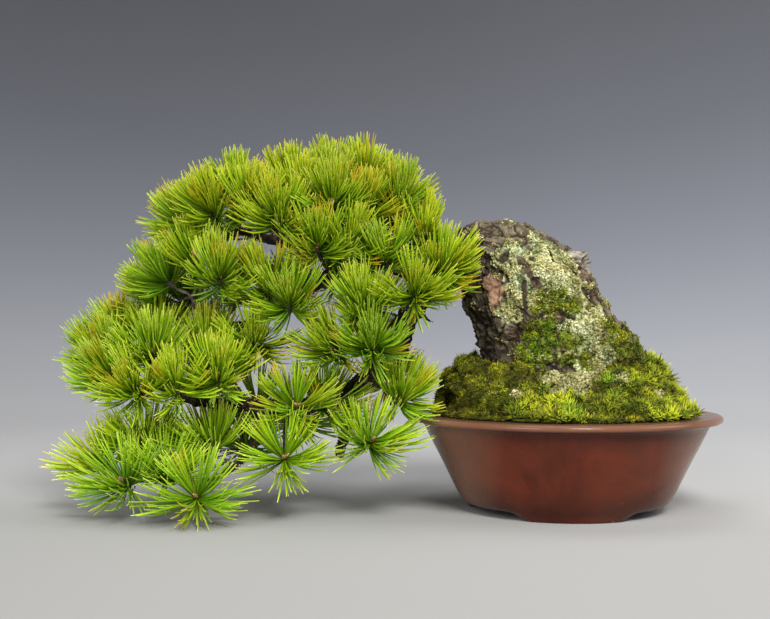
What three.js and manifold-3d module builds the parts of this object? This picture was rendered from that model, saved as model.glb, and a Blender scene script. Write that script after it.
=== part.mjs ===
// A semi-cascade five-needle pine bonsai in a round clay pot. Millimetres, +Z up.
// Places are measured from the pot's axis on the ground: +X right, +Y away, +Z up.
import * as THREE from "three";
import { mergeVertices } from "three/addons/utils/BufferGeometryUtils.js";
import Module from "manifold-3d";

const wasm = await Module();
wasm.setup();

const gap = 0.3; // air between touching pieces

const potSize = {
  rimRadius: 105,
  height: 65,
  lipThick: 4.6,
  lipWidth: 20,
  lipRound: 1.4,
  bodyTopRadius: 97,
  bodyShoulder: [94, 53.6], // radius and height where the wall begins to flare
  bodyWaist: [83.6, 33],
  bodyFootRadius: 69,
  wall: 8.6,
  footRadius: 66,
  footWidth: 7,
  footHeight: 6,
  floorTop: 14,
  floorRadius: 62,
  drainRadius: 11.5,
  feet: 3,
  footAzimuth: -92,
  archFootAngle: 36, // half the angle that an arch between two feet spans at the ground
  archTopAngle: 22,
  sides: 36,
};

const screenSize = { side: 34, thick: 1.2, hole: 6.4, pitch: 9.4 };

const mossSize = { bottom: potSize.height + gap, edge: 1.2, lobe: 2.4, inner: 38 };

// Needles turn up to the light by the share in rise; those that hang down are shorter by droop,
// and those in the full light of the crown by crown.
const needleSize = {
  length: 33,
  spread: 3,
  halfWidth: 1.2,
  tip: 0.1,
  rise: 0.3,
  droop: 0.38,
  crown: 0.12,
  crownFrom: 190,
  crownTo: 215,
};
const tuftDepth = 8; // how far a bud lies behind the middle of its tuft
const coreLength = 8; // the slim core of a bud that its needles stand on
const twigRadius = { stem: 2.2, fork: 1.7, end: 1.4 };

// Air that a needle keeps from other needles and twigs, the ground, the rim, the moss and the stump.
const clearAir = { needle: 0.25, sibling: 0.1, ground: 1.2, rim: 1.5, moss: 3, stump: 6 };

// Old leaning stump: height, centre x, half width in x, half width in y.
const stumpSections = [
  [40, 12, 48, 38],
  [52, 11, 56, 46],
  [64, 10, 58, 48],
  [80, 6, 57, 45],
  [100, 1, 58, 43],
  [120, -8, 54, 42],
  [142, -22, 49, 40],
  [160, -25, 46, 38],
  [172, -33, 42, 36],
  [182, -40, 36, 32],
  [190, -44, 29, 25],
  [195, -45, 19, 16],
];

// Limbs that are one wood with the stump: each point is x, y, z and the limb's radius there.
const limbs = {
  cascade: [
    [-30, 0, 166, 28], [-50, 0, 171, 25], [-67, -2, 171, 21.5], [-83, -4, 164, 16], [-96, -5, 150, 11.5],
    [-106, -5, 134, 8], [-111, -5, 116, 7.2], [-117, -5, 102, 8], [-132, -6, 89, 8.4],
    [-149, -5, 79, 7.4], [-168, -4, 72, 6.6], [-189, 0, 69, 6], [-211, 0, 70, 5.4],
    [-234, 0, 71, 4.6], [-257, 0, 74, 3.8], [-276, 3, 84, 3],
  ],
  crown: [
    [-90, -4, 156, 8], [-107, 5, 163, 8.4], [-123, 8, 170, 7.4], [-143, 5, 174, 6.4], [-164, 3, 178, 5.6],
    [-186, 0, 181, 5], [-207, 0, 185, 4.2], [-226, 0, 191, 3.4],
  ],
  middle: [
    [-147, 5, 172, 4.2], [-163, -5, 159, 4.4], [-177, -10, 146, 4.2], [-196, -10, 134, 4],
    [-217, -8, 126, 3.6], [-236, -8, 126, 3.2], [-254, -5, 133, 2.8],
  ],
  low: [
    [-208, 0, 70, 4.4], [-207, -6, 54, 3.8], [-213, -15, 40, 3.4], [-224, -24, 30, 3],
    [-238, -29, 23, 2.8], [-258, -30, 21, 2.6], [-276, -28, 23, 2.4],
  ],
  oldStub: [[-146, -5, 80, 4.6], [-147, -13, 64, 4.2], [-151, -19, 47, 4.4], [-154, -21, 37, 3.6]],
  deadTwig: [[-104, -5, 134, 2.8], [-98, -6, 132, 2.2], [-90, -6, 126, 1.6]],
  stumpKnob: [[-8, -2, 160, 12], [6, -4, 168, 9], [15, -5, 173, 5]],
};

// Sprays: where the stem leaves the wood, the heart where it forks, and the middle of each tuft.
// lean turns all the spray's shoots: x, y, z added to each shoot's own outward way.
const sprays = {
  crown_right: {
    from: [-116, 7, 167], heart: [-121, 4, 186], lean: [0.1, -0.3, 0.7],
    tufts: [[-114, -22, 205], [-107, 8, 196], [-122, 18, 216], [-138, 0, 224]],
  },
  crown_middle: {
    from: [-147, 5, 175], heart: [-151, -4, 193], lean: [0, -0.3, 0.7],
    tufts: [[-161, 14, 226], [-157, -38, 204], [-138, -30, 199], [-160, -12, 217]],
  },
  crown_left: {
    from: [-186, 0, 181], heart: [-187, -4, 197], lean: [-0.1, -0.3, 0.7],
    tufts: [[-188, 14, 223], [-192, -44, 194], [-178, -18, 211]],
  },
  crown_far_left: {
    from: [-222, 0, 190], heart: [-233, -2, 196], lean: [-0.3, -0.2, 0.5],
    tufts: [[-225, 6, 217], [-238, -22, 201], [-259, 6, 194], [-212, -24, 205]],
  },
  left_shoulder: {
    from: [-252, -5, 132], heart: [-252, -12, 145], lean: [-0.3, -0.2, 0.4],
    tufts: [[-271, -12, 156], [-281, 10, 143], [-229, -46, 156], [-250, -18, 169]],
  },
  front_heart: {
    from: [-178, -10, 145], heart: [-181, -30, 143], lean: [0, -0.4, 0.6],
    tufts: [[-184, -52, 138], [-200, -42, 150]],
  },
  front_upper: {
    from: [-165, 1, 177], heart: [-165, -22, 172], lean: [0, -0.4, 0.6],
    tufts: [[-166, -50, 175], [-146, -44, 176]],
  },
  front_bend: {
    from: [-110, 5, 164], heart: [-110, -22, 160], lean: [0.1, -0.4, 0.4],
    tufts: [[-123, -42, 166], [-103, -62, 144], [-84, -44, 160], [-97, -28, 182]],
  },
  front_knee: {
    from: [-109, -6, 115], heart: [-124, -28, 117], lean: [0.1, -0.4, 0.4],
    tufts: [[-137, -55, 136], [-131, -62, 110], [-155, -50, 109]],
  },
  inner_dark: {
    from: [-214, -9, 127], heart: [-211, -22, 119], lean: [0, -0.4, 0.4],
    tufts: [[-208, -36, 112]],
  },
  left_upper: {
    from: [-274, 3, 83], heart: [-289, 8, 100], lean: [-0.4, -0.1, 0.5],
    tufts: [[-307, 18, 117], [-281, 10, 119], [-315, 0, 103]],
  },
  left_front: {
    from: [-262, 0, 76], heart: [-276, -18, 86], lean: [-0.2, -0.5, 0.4],
    tufts: [[-274, -38, 106], [-303, -30, 90], [-284, -48, 82]],
  },
  middle_front: {
    from: [-238, 0, 71], heart: [-241, -28, 80], lean: [0, -0.4, 0.5],
    tufts: [[-257, -55, 84], [-229, -52, 92], [-243, -16, 108]],
  },
  middle_right: {
    from: [-190, 0, 69], heart: [-184, -22, 70], lean: [0, -0.5, 0.3],
    tufts: [[-205, -34, 86], [-180, -48, 72], [-160, -30, 72]],
  },
  stub_end: {
    from: [-149, -18, 52], heart: [-141, -33, 49], lean: [0.3, -0.5, 0.6],
    tufts: [[-131, -48, 50]],
  },
  knee_low: {
    from: [-125, -6, 94], heart: [-121, -22, 78], lean: [0.6, -0.2, 0.6],
    tufts: [[-110, -34, 76]],
  },
  low_star: {
    from: [-190, 0, 67], heart: [-189, -32, 48], lean: [0, -1.3, 0.7],
    tufts: [[-187, -56, 40]],
  },
  low_left: {
    from: [-274, -28, 23], heart: [-284, -30, 28], lean: [-0.4, -0.4, 0.9],
    tufts: [[-311, -20, 34], [-290, -54, 25], [-282, -26, 48], [-264, -46, 30]],
  },
  low_middle: {
    from: [-226, -25, 29], heart: [-224, -30, 36], lean: [0, -0.3, 0.5],
    tufts: [[-240, -22, 46], [-208, -46, 34]],
  },
  low_front_star: {
    from: [-240, -29, 22], heart: [-241, -48, 20], lean: [0, -1.3, 0.5],
    tufts: [[-241, -70, 17]],
  },
  back_crown_right: {
    from: [-127, 8, 171], heart: [-130, 26, 183], lean: [0.1, 0.3, 0.5],
    tufts: [[-110, 40, 192], [-133, 48, 202], [-152, 38, 213]],
  },
  back_crown_left: {
    from: [-192, 0, 182], heart: [-197, 24, 189], lean: [-0.1, 0.3, 0.5],
    tufts: [[-174, 46, 204], [-200, 50, 198], [-216, 30, 212]],
  },
  back_left_top: {
    from: [-222, 1, 189], heart: [-238, 24, 184], lean: [-0.3, 0.4, 0.4],
    tufts: [[-243, 44, 188], [-264, 30, 178]],
  },
  back_bend: {
    from: [-105, -5, 132], heart: [-114, 26, 132], lean: [0.1, 0.5, 0.4],
    tufts: [[-104, 46, 152], [-130, 58, 140], [-130, 50, 112]],
  },
  back_middle: {
    from: [-165, -4, 158], heart: [-168, 28, 152], lean: [0, 0.5, 0.3],
    tufts: [[-158, 58, 156], [-188, 52, 152]],
  },
  back_shoulder: {
    from: [-236, -8, 126], heart: [-239, 20, 132], lean: [-0.2, 0.4, 0.4],
    tufts: [[-230, 50, 144], [-262, 36, 140], [-243, 46, 114]],
  },
  back_knee: {
    from: [-130, -6, 90], heart: [-134, 26, 80], lean: [0.1, 0.5, 0.1],
    tufts: [[-120, 50, 84], [-148, 46, 60]],
  },
  back_low: {
    from: [-192, 0, 69], heart: [-196, 26, 66], lean: [0, 0.5, 0.3],
    tufts: [[-184, 50, 56], [-216, 44, 66]],
  },
  back_left: {
    from: [-257, 0, 74], heart: [-268, 24, 77], lean: [-0.3, 0.4, 0.4],
    tufts: [[-256, 50, 80], [-288, 38, 86]],
  },
  back_bottom: {
    from: [-208, -9, 50], heart: [-218, 14, 42], lean: [-0.1, 0.3, 0.5],
    tufts: [[-222, 34, 40], [-250, 20, 42]],
  },
};

// One seeded stream of numbers between 0 and 1, so that the tree grows the same every time.
let seedState = 20261;
function random() {
  seedState = (seedState * 1664525 + 1013904223) % 4294967296;
  return seedState / 4294967296;
}
const jitter = (amount) => (random() * 2 - 1) * amount;
const radians = THREE.MathUtils.degToRad;

// A three.js geometry as a closed solid, its seams merged and its faces turned outwards.
function solidOf(geometry) {
  geometry.deleteAttribute("normal");
  geometry.deleteAttribute("uv");
  const merged = mergeVertices(geometry, 1e-4);
  const vertProperties = new Float32Array(merged.attributes.position.array);
  const triangles = [];
  const [a, b, c] = [new THREE.Vector3(), new THREE.Vector3(), new THREE.Vector3()];
  let volume = 0;
  for (let i = 0; i < merged.index.count; i += 3) {
    const corner = [0, 1, 2].map((k) => merged.index.getX(i + k));
    if (new Set(corner).size < 3) continue;
    triangles.push(corner);
    a.fromArray(vertProperties, corner[0] * 3);
    b.fromArray(vertProperties, corner[1] * 3);
    c.fromArray(vertProperties, corner[2] * 3);
    volume += a.dot(b.cross(c));
  }
  if (volume < 0) triangles.forEach((corner) => corner.reverse());
  const triVerts = Uint32Array.from(triangles.flat());
  return new wasm.Manifold(new wasm.Mesh({ numProp: 3, vertProperties, triVerts }));
}

// The largest body of a solid; a scrap that a cut left loose is dropped.
function largestBody(solid) {
  return solid.decompose().sort((one, other) => other.volume() - one.volume())[0];
}

function meshOf(name, solid, color, roughness, metalness = 0) {
  const { vertProperties, triVerts } = solid.getMesh();
  const geometry = new THREE.BufferGeometry();
  geometry.setAttribute("position", new THREE.BufferAttribute(new Float32Array(vertProperties), 3));
  geometry.setIndex(new THREE.BufferAttribute(new Uint32Array(triVerts), 1));
  geometry.computeVertexNormals();
  const mesh = new THREE.Mesh(geometry, new THREE.MeshStandardMaterial({ color, roughness, metalness }));
  mesh.name = name;
  return mesh;
}

function turned(profile, sides) {
  const points = profile.map(([radius, z]) => new THREE.Vector2(radius, z));
  const geometry = new THREE.LatheGeometry(points, sides);
  return solidOf(geometry.rotateX(Math.PI / 2));
}

// Pot: flared bowl with a wide flat lip and three feet left between cut-out arches.

const potInside = [
  [potSize.rimRadius - potSize.lipWidth, potSize.height],
  [potSize.bodyShoulder[0] - potSize.wall - 1, potSize.bodyShoulder[1]],
  [potSize.bodyWaist[0] - potSize.wall, potSize.bodyWaist[1]],
  [potSize.floorRadius, potSize.floorTop],
];

function makePot() {
  const size = potSize;
  const lipUnder = size.height - size.lipThick;
  const bowl = turned([
    [size.drainRadius, size.footHeight],
    [size.footRadius - size.footWidth - 2, size.footHeight],
    [size.footRadius - size.footWidth, 0],
    [size.footRadius, 0],
    [size.bodyFootRadius, size.footHeight],
    size.bodyWaist,
    size.bodyShoulder,
    [size.bodyTopRadius, lipUnder - size.lipRound / 2],
    [size.rimRadius - size.lipRound, lipUnder],
    [size.rimRadius, lipUnder + size.lipRound],
    [size.rimRadius, size.height - size.lipRound],
    [size.rimRadius - size.lipRound, size.height],
    ...potInside,
    [size.drainRadius, size.floorTop],
    [size.drainRadius, size.footHeight],
  ], size.sides);
  const archHeight = size.footHeight - 0.4;
  const archDepth = size.footRadius * 0.75;
  const bottomHalf = size.footRadius * Math.sin(radians(size.archFootAngle));
  const topHalf = size.footRadius * Math.sin(radians(size.archTopAngle));
  const arch = new THREE.Shape([
    new THREE.Vector2(-bottomHalf, -1),
    new THREE.Vector2(bottomHalf, -1),
    new THREE.Vector2(topHalf, archHeight),
    new THREE.Vector2(-topHalf, archHeight),
  ]);
  let pot = bowl;
  for (let foot = 0; foot < size.feet; foot += 1) {
    const between = ((foot + 0.5) * 360) / size.feet;
    const cutter = new THREE.ExtrudeGeometry(arch, { depth: archDepth, bevelEnabled: false });
    cutter.rotateX(Math.PI / 2).translate(0, 0.6 * archDepth - size.bodyFootRadius, 0);
    cutter.rotateZ(radians(size.footAzimuth + 90 + between));
    pot = pot.subtract(solidOf(cutter));
  }
  return pot;
}

function makeScreen() {
  const { side, thick, hole, pitch } = screenSize;
  const middle = potSize.floorTop + gap + thick / 2;
  const plate = new THREE.BoxGeometry(side, side, thick).translate(0, 0, middle);
  let screen = solidOf(plate);
  for (let column = -1; column <= 1; column += 1) {
    for (let row = -1; row <= 1; row += 1) {
      const mesh = new THREE.BoxGeometry(hole, hole, 3 * thick);
      screen = screen.subtract(solidOf(mesh.translate(column * pitch, row * pitch, middle)));
    }
  }
  return screen;
}

// Wood: every limb is a cylinder bent along a curve, with shallow ridges of bark.

function tubeAlong(stations, sides, steps, grow = 0, ridge = 0) {
  const curve = new THREE.CatmullRomCurve3(stations.map(([x, y, z]) => new THREE.Vector3(x, y, z)));
  const whole = curve.getPoint(1).sub(curve.getPoint(0));
  const least = Math.abs(whole.y) <= Math.abs(whole.x) ? [0, 1, 0] : [1, 0, 0];
  const reference = new THREE.Vector3(...least);
  const tube = new THREE.CylinderGeometry(1, 1, 1, sides, steps);
  const place = tube.attributes.position;
  for (let i = 0; i < place.count; i += 1) {
    const along = place.getY(i) + 0.5;
    const spot = along * (stations.length - 1);
    const index = Math.min(Math.floor(spot), stations.length - 2);
    const thickness = THREE.MathUtils.lerp(stations[index][3], stations[index + 1][3], spot - index);
    const turn = Math.atan2(place.getZ(i), place.getX(i));
    const wave = 1 + ridge * (Math.sin(3 * turn + spot * 2.1) + 0.7 * Math.sin(5 * turn - spot * 3.7));
    const radius = thickness * wave + grow;
    const tangent = curve.getTangent(along);
    const across = new THREE.Vector3().crossVectors(tangent, reference).normalize();
    const up = new THREE.Vector3().crossVectors(across, tangent);
    const point = curve.getPoint(along);
    point.addScaledVector(across, place.getX(i) * radius);
    point.addScaledVector(up, place.getZ(i) * radius);
    if (Math.abs(along - 0.5) === 0.5) point.addScaledVector(tangent, Math.sign(along - 0.5) * grow);
    place.setXYZ(i, point.x, point.y, point.z);
  }
  return solidOf(tube);
}

// The stump's outline at a height, between the measured sections.
function stumpAt(z) {
  const last = stumpSections.length - 1;
  const upper = stumpSections.findIndex(([height]) => height >= z);
  if (upper <= 0) return stumpSections[upper < 0 ? last : 0];
  const [low, high] = [stumpSections[upper - 1], stumpSections[upper]];
  const part = (z - low[0]) / (high[0] - low[0]);
  return low.map((value, column) => THREE.MathUtils.lerp(value, high[column], part));
}

// Furrowed bark: long plates that wind round the stump.
function barkRelief(turn, z) {
  const plates = Math.sin(6 * turn + z / 23 + 1.3 * Math.sin(z / 15));
  const cracks = Math.sin(13 * turn - z / 11);
  const lumps = Math.sin(3 * turn + z / 9) * Math.cos(z / 13 - turn);
  return 1.9 * plates + 1.1 * cracks + 1.6 * lumps;
}

function makeStump(grow) {
  const rings = 17;
  const sides = 24;
  const bottom = stumpSections[0][0];
  const top = stumpSections[stumpSections.length - 1][0];
  const stump = new THREE.CylinderGeometry(1, 1, 1, sides, rings);
  const place = stump.attributes.position;
  for (let i = 0; i < place.count; i += 1) {
    const along = place.getY(i) + 0.5;
    const z = THREE.MathUtils.lerp(bottom, top, along);
    const [, middle, halfX, halfY] = stumpAt(z);
    const turn = Math.atan2(place.getZ(i), place.getX(i));
    const rim = Math.hypot(place.getX(i), place.getZ(i));
    const fade = THREE.MathUtils.smoothstep(z, bottom, bottom + 30);
    const swell = barkRelief(turn, z) * fade + grow;
    const x = middle + place.getX(i) * (halfX + swell);
    const y = place.getZ(i) * (halfY + swell);
    const crown = along === 1 ? grow + 2 * (1 - rim) : 0;
    const foot = along === 0 ? -grow : 0;
    place.setXYZ(i, x, y, z + crown + foot);
  }
  return solidOf(stump);
}

function makeWood(grow) {
  let wood = makeStump(grow);
  for (const [name, stations] of Object.entries(limbs)) {
    const sides = name === "cascade" ? 9 : 6;
    const steps = Math.round((stations.length - 1) * 1.5);
    wood = wood.add(tubeAlong(stations, sides, steps, grow, name === "cascade" ? 0.05 : 0.04));
  }
  return wood;
}

// Soil fills the pot; moss cushions lie on it, cut where the stump stands through them.

function makeSoil(woodGrown) {
  const inside = potInside.map(([radius, z]) => [radius - gap, z]);
  inside[0][1] = potSize.height;
  inside[inside.length - 1][1] = potSize.floorTop + gap;
  const fill = turned([[0, potSize.height], ...inside, [0, potSize.floorTop + gap]], potSize.sides);
  const recess = new THREE.BoxGeometry(
    screenSize.side + 2 * gap,
    screenSize.side + 2 * gap,
    2 * (screenSize.thick + 2 * gap),
  );
  recess.translate(0, 0, potSize.floorTop);
  return fill.subtract(solidOf(recess)).subtract(woodGrown);
}

// Height of the moss: a steep mound at the left, a long slope at the right, low at front and back.
function mossShape(turn) {
  const left = Math.max(0, -Math.cos(turn)) ** 2;
  const right = Math.max(0, Math.cos(turn)) ** 2;
  const side = Math.sin(turn) ** 2;
  return {
    radius: 90.5 * left + 88 * right + 86 * side + 0.8 * Math.sin(9 * turn) + 0.5 * Math.sin(17 * turn),
    rise: 41 * left + 102 * right + 42 * side,
    power: 3.8 * left + 1.05 * right + 1.35 * side,
  };
}

function mossHeight(turn, radius) {
  const shape = mossShape(turn);
  const share = Math.min(radius / shape.radius, 1);
  const dome = shape.rise * (1 - share ** shape.power) ** (1 / shape.power);
  const x = radius * Math.cos(turn);
  const y = radius * Math.sin(turn);
  const lobes = mossSize.lobe * Math.sin(x / 5.3 + 1.1 * Math.sin(y / 7)) * Math.sin(y / 5.9 + 0.8);
  return mossSize.bottom + mossSize.edge + Math.max(0, dome + lobes * Math.min(1, (1 - share) * 6));
}

// One cushion between two azimuths: a box bent into a ring sector, its top raised to the moss height.
function makeMoss([start, end], woodGrown) {
  const steps = Math.round((end - start) / 10);
  const block = new THREE.BoxGeometry(1, 1, 1, steps, 6, 1);
  const place = block.attributes.position;
  for (let i = 0; i < place.count; i += 1) {
    const turn = radians(THREE.MathUtils.lerp(start, end, place.getX(i) + 0.5));
    const share = 1 - (0.5 - place.getY(i)) ** 1.6;
    const edge = mossShape(turn).radius;
    const reach = THREE.MathUtils.lerp(mossSize.inner, edge, share);
    const top = place.getZ(i) > 0;
    const z = top ? mossHeight(turn, reach) : mossSize.bottom;
    place.setXYZ(i, reach * Math.cos(turn), reach * Math.sin(turn), z);
  }
  return largestBody(solidOf(block).subtract(woodGrown));
}

// Foliage: each spray is a forked twig, and each bud is a slim core raised into long thin needles.

const bodies = []; // what a needle stays clear of: segments with a radius at each end

function addBody(start, end, startRadius, endRadius, owner) {
  const middle = start.clone().add(end).multiplyScalar(0.5);
  const reach = start.distanceTo(end) / 2 + Math.max(startRadius, endRadius);
  bodies.push({ start, end, startRadius, endRadius, owner, middle, reach });
}

function addTubeBodies(stations, owner) {
  const curve = new THREE.CatmullRomCurve3(stations.map(([x, y, z]) => new THREE.Vector3(x, y, z)));
  const pieces = (stations.length - 1) * 2;
  for (let i = 0; i < pieces; i += 1) {
    const index = Math.floor(i / 2);
    const [first, second] = [stations[index][3], stations[index + 1][3]];
    const halfWay = (first + second) / 2;
    const radii = i % 2 ? [halfWay, second] : [first, halfWay];
    addBody(curve.getPoint(i / pieces), curve.getPoint((i + 1) / pieces), radii[0], radii[1], owner);
  }
}

// Air between two tapered segments, at the place where their middle lines come closest.
function airBetween(one, other) {
  const way = one.end.clone().sub(one.start);
  const otherWay = other.end.clone().sub(other.start);
  const between = one.start.clone().sub(other.start);
  const [a, e, f] = [way.dot(way), otherWay.dot(otherWay), otherWay.dot(between)];
  const [b, c] = [way.dot(otherWay), way.dot(between)];
  const denominator = a * e - b * b;
  const clamp = (value) => Math.min(1, Math.max(0, value));
  let s = denominator > 1e-9 ? clamp((b * f - c * e) / denominator) : 0;
  const t = clamp((b * s + f) / e);
  s = clamp((b * t - c) / a);
  const near = one.start.clone().addScaledVector(way, s);
  const otherNear = other.start.clone().addScaledVector(otherWay, t);
  const radius = THREE.MathUtils.lerp(one.startRadius, one.endRadius, s);
  const otherRadius = THREE.MathUtils.lerp(other.startRadius, other.endRadius, t);
  return near.distanceTo(otherNear) - radius - otherRadius;
}

// True where a point is inside the stump, the pot, the moss or the ground, with some air round them.
function isBlocked(point) {
  if (point.z < clearAir.ground) return true;
  const fromAxis = Math.hypot(point.x, point.y);
  const rimTop = potSize.height + clearAir.rim;
  if (fromAxis < potSize.rimRadius + clearAir.rim && point.z < rimTop) return true;
  const turn = Math.atan2(point.y, point.x);
  const overMoss = fromAxis < mossShape(turn).radius + clearAir.moss;
  if (overMoss && point.z < mossHeight(turn, fromAxis - clearAir.moss) + clearAir.moss) return true;
  if (point.z > stumpSections[stumpSections.length - 1][0] + clearAir.stump) return false;
  const [, middle, halfX, halfY] = stumpAt(point.z);
  const [reachX, reachY] = [halfX + clearAir.stump, halfY + clearAir.stump];
  return Math.hypot((point.x - middle) / reachX, point.y / reachY) < 1;
}

function isClear(needle, owner) {
  for (let part = 0.1; part <= 1; part += 0.15) {
    if (isBlocked(needle.start.clone().lerp(needle.end, part))) return false;
  }
  const middle = needle.start.clone().add(needle.end).multiplyScalar(0.5);
  const reach = needle.start.distanceTo(needle.end) / 2 + 2;
  return !bodies.some((body) => {
    if (body.owner === owner) return false;
    if (body.middle.distanceTo(middle) > body.reach + reach) return false;
    return airBetween(needle, body) < clearAir.needle;
  });
}

// Rings of the core from its foot to its tip: height and radius. Each face above the foot grows
// one needle, at the angle from the shoot's axis that its band gives.
const coreRadius = 2.6;
const coreRings = [[0, 0], [0.8, 1.9], [3.2, coreRadius], [5.6, 2.4], [7.4, 1.5], [coreLength, 0]];
const bandFrom = [7.5, 5.6, 3.2, 2];
const bandAngles = [15, 38, 62, 88];
const coreSides = 5;

function makeTuft(bud, axis, owner) {
  const points = coreRings.map(([height, radius]) => new THREE.Vector2(radius, height));
  const core = new THREE.LatheGeometry(points, coreSides);
  core.deleteAttribute("normal");
  core.deleteAttribute("uv");
  const merged = mergeVertices(core, 1e-4);
  const upright = new THREE.Vector3(0, 1, 0);
  const toShoot = new THREE.Quaternion().setFromUnitVectors(upright, axis);
  const spin = new THREE.Quaternion().setFromAxisAngle(upright, random() * 2 * Math.PI);
  toShoot.multiply(spin);
  const corners = [];
  for (let i = 0; i < merged.attributes.position.count; i += 1) {
    corners.push(new THREE.Vector3().fromBufferAttribute(merged.attributes.position, i));
  }
  const faces = [];
  for (let i = 0; i < merged.index.count; i += 3) {
    const face = [0, 1, 2].map((k) => merged.index.getX(i + k));
    if (new Set(face).size === 3) faces.push(face);
  }
  const triangles = [];
  const siblings = [];
  for (const face of faces) {
    const center = new THREE.Vector3();
    face.forEach((corner) => center.add(corners[corner]));
    center.multiplyScalar(1 / 3);
    const band = bandFrom.findIndex((height) => center.y > height);
    const tip = band < 0 ? null : growNeedle(center, bandAngles[band], bud, toShoot, owner, siblings);
    if (!tip) {
      triangles.push(face);
      continue;
    }
    corners.push(tip);
    const top = corners.length - 1;
    triangles.push([face[0], face[1], top], [face[1], face[2], top], [face[2], face[0], top]);
  }
  siblings.forEach(({ start, end }) => addBody(start, end, needleSize.halfWidth, needleSize.tip, owner));
  const placed = corners.map((corner) => corner.clone().applyQuaternion(toShoot).add(bud));
  const geometry = new THREE.BufferGeometry().setFromPoints(placed);
  geometry.setIndex(triangles.flat());
  return solidOf(geometry);
}

// The tip of one needle in the core's own frame. It bends aside, or stays short, to keep clear:
// a blocked needle is tried again, bent further each time, and the last tries are shorter.
const needleTries = { all: 22, shorter: 12, shortest: 17, firstBend: 4, bendStep: 1.3, mostBend: 20 };

function growNeedle(center, angle, bud, toShoot, owner, siblings) {
  const turn = Math.atan2(center.z, center.x);
  const root = center.clone().applyQuaternion(toShoot).add(bud);
  const sunlit = THREE.MathUtils.smoothstep(root.z, needleSize.crownFrom, needleSize.crownTo);
  const length = (needleSize.length + jitter(needleSize.spread)) * (1 - needleSize.crown * sunlit);
  for (let attempt = 0; attempt < needleTries.all; attempt += 1) {
    const bend = Math.min(needleTries.firstBend + attempt * needleTries.bendStep, needleTries.mostBend);
    const lean = radians(angle + jitter(bend));
    const aside = turn + radians(jitter(bend) / Math.max(0.3, Math.sin(lean)));
    const share = attempt < needleTries.shorter ? 1 : attempt < needleTries.shortest ? 0.7 : 0.42;
    const way = new THREE.Vector3(
      Math.sin(lean) * Math.cos(aside),
      Math.cos(lean),
      Math.sin(lean) * Math.sin(aside),
    ).applyQuaternion(toShoot);
    way.z += needleSize.rise;
    way.normalize();
    const hang = 1 - needleSize.droop * Math.max(0, -way.z);
    const start = root.clone().addScaledVector(way, 1.5);
    const end = root.clone().addScaledVector(way, length * share * hang);
    const needle = { start, end, startRadius: needleSize.halfWidth, endRadius: needleSize.tip };
    const thin = siblings.some((other) => airBetween(outer(needle), outer(other)) < clearAir.sibling);
    if (thin || !isClear(needle, owner)) continue;
    siblings.push(needle);
    return end.clone().sub(bud).applyQuaternion(toShoot.clone().invert());
  }
  return null;
}

// The part of a needle past its crowded root, where neighbours on one bud must have parted.
function outer(needle) {
  const start = needle.start.clone().lerp(needle.end, 0.3);
  return { start, end: needle.end, startRadius: needleSize.halfWidth * 0.7, endRadius: needleSize.tip };
}

const vectorOf = ([x, y, z]) => new THREE.Vector3(x, y, z);

// A spray's shoots: each grows outwards from the heart, turned by the spray's lean, and its bud
// lies behind the middle of its tuft.
function shootsOf(spray) {
  return spray.tufts.map((tuft) => {
    const middle = vectorOf(tuft);
    const outwards = middle.clone().sub(vectorOf(spray.heart)).normalize();
    const way = outwards.multiplyScalar(0.8).add(vectorOf(spray.lean)).normalize();
    return { way, bud: middle.addScaledVector(way, -tuftDepth) };
  });
}

// Twigs of a spray as stations: the stem runs through the heart to the first bud, and a fork
// leaves the heart for each of the others.
function twigsOf(spray) {
  const [from, heart] = [vectorOf(spray.from), vectorOf(spray.heart)];
  const stem = [
    [...from.toArray(), twigRadius.stem],
    [...from.clone().lerp(heart, 0.55).add(new THREE.Vector3(0, 0, -1.5)).toArray(), twigRadius.stem],
  ];
  const forks = shootsOf(spray).map(({ way, bud }) => {
    const end = bud.clone().addScaledVector(way, coreLength / 4);
    const before = bud.clone().addScaledVector(way, -coreLength / 2);
    return [
      [...heart.toArray(), twigRadius.fork],
      [...before.toArray(), twigRadius.end],
      [...end.toArray(), twigRadius.end],
    ];
  });
  const [first, ...others] = forks;
  return [[...stem, ...first], ...others];
}

function makeSpray(name, spray, woodGrown) {
  let body = tufts[`${name} 0`];
  twigsOf(spray).forEach((twig, index) => {
    body = body.add(tubeAlong(twig, index ? 3 : 4, index ? 2 : 5));
    if (index) body = body.add(tufts[`${name} ${index}`]);
  });
  return largestBody(body.subtract(woodGrown));
}

const wood = makeWood(0);
const woodGrown = makeWood(gap);

for (const [name, stations] of Object.entries(limbs)) addTubeBodies(stations, name);
for (const [name, spray] of Object.entries(sprays)) {
  twigsOf(spray).forEach((twig, index) => addTubeBodies(twig, `${name} ${index}`));
  shootsOf(spray).forEach(({ way, bud }, index) => {
    addBody(bud, bud.clone().addScaledVector(way, coreLength), coreRadius, coreRadius, `${name} ${index}`);
  });
}

const tufts = {};
for (const [name, spray] of Object.entries(sprays)) {
  shootsOf(spray).forEach(({ way, bud }, index) => {
    tufts[`${name} ${index}`] = makeTuft(bud, way, `${name} ${index}`);
  });
}

const mossSectors = {
  moss_left_mound: [130, 238],
  moss_front: [239, 302],
  moss_right_slope: [303, 405],
  moss_back: [406, 489],
};

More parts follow.
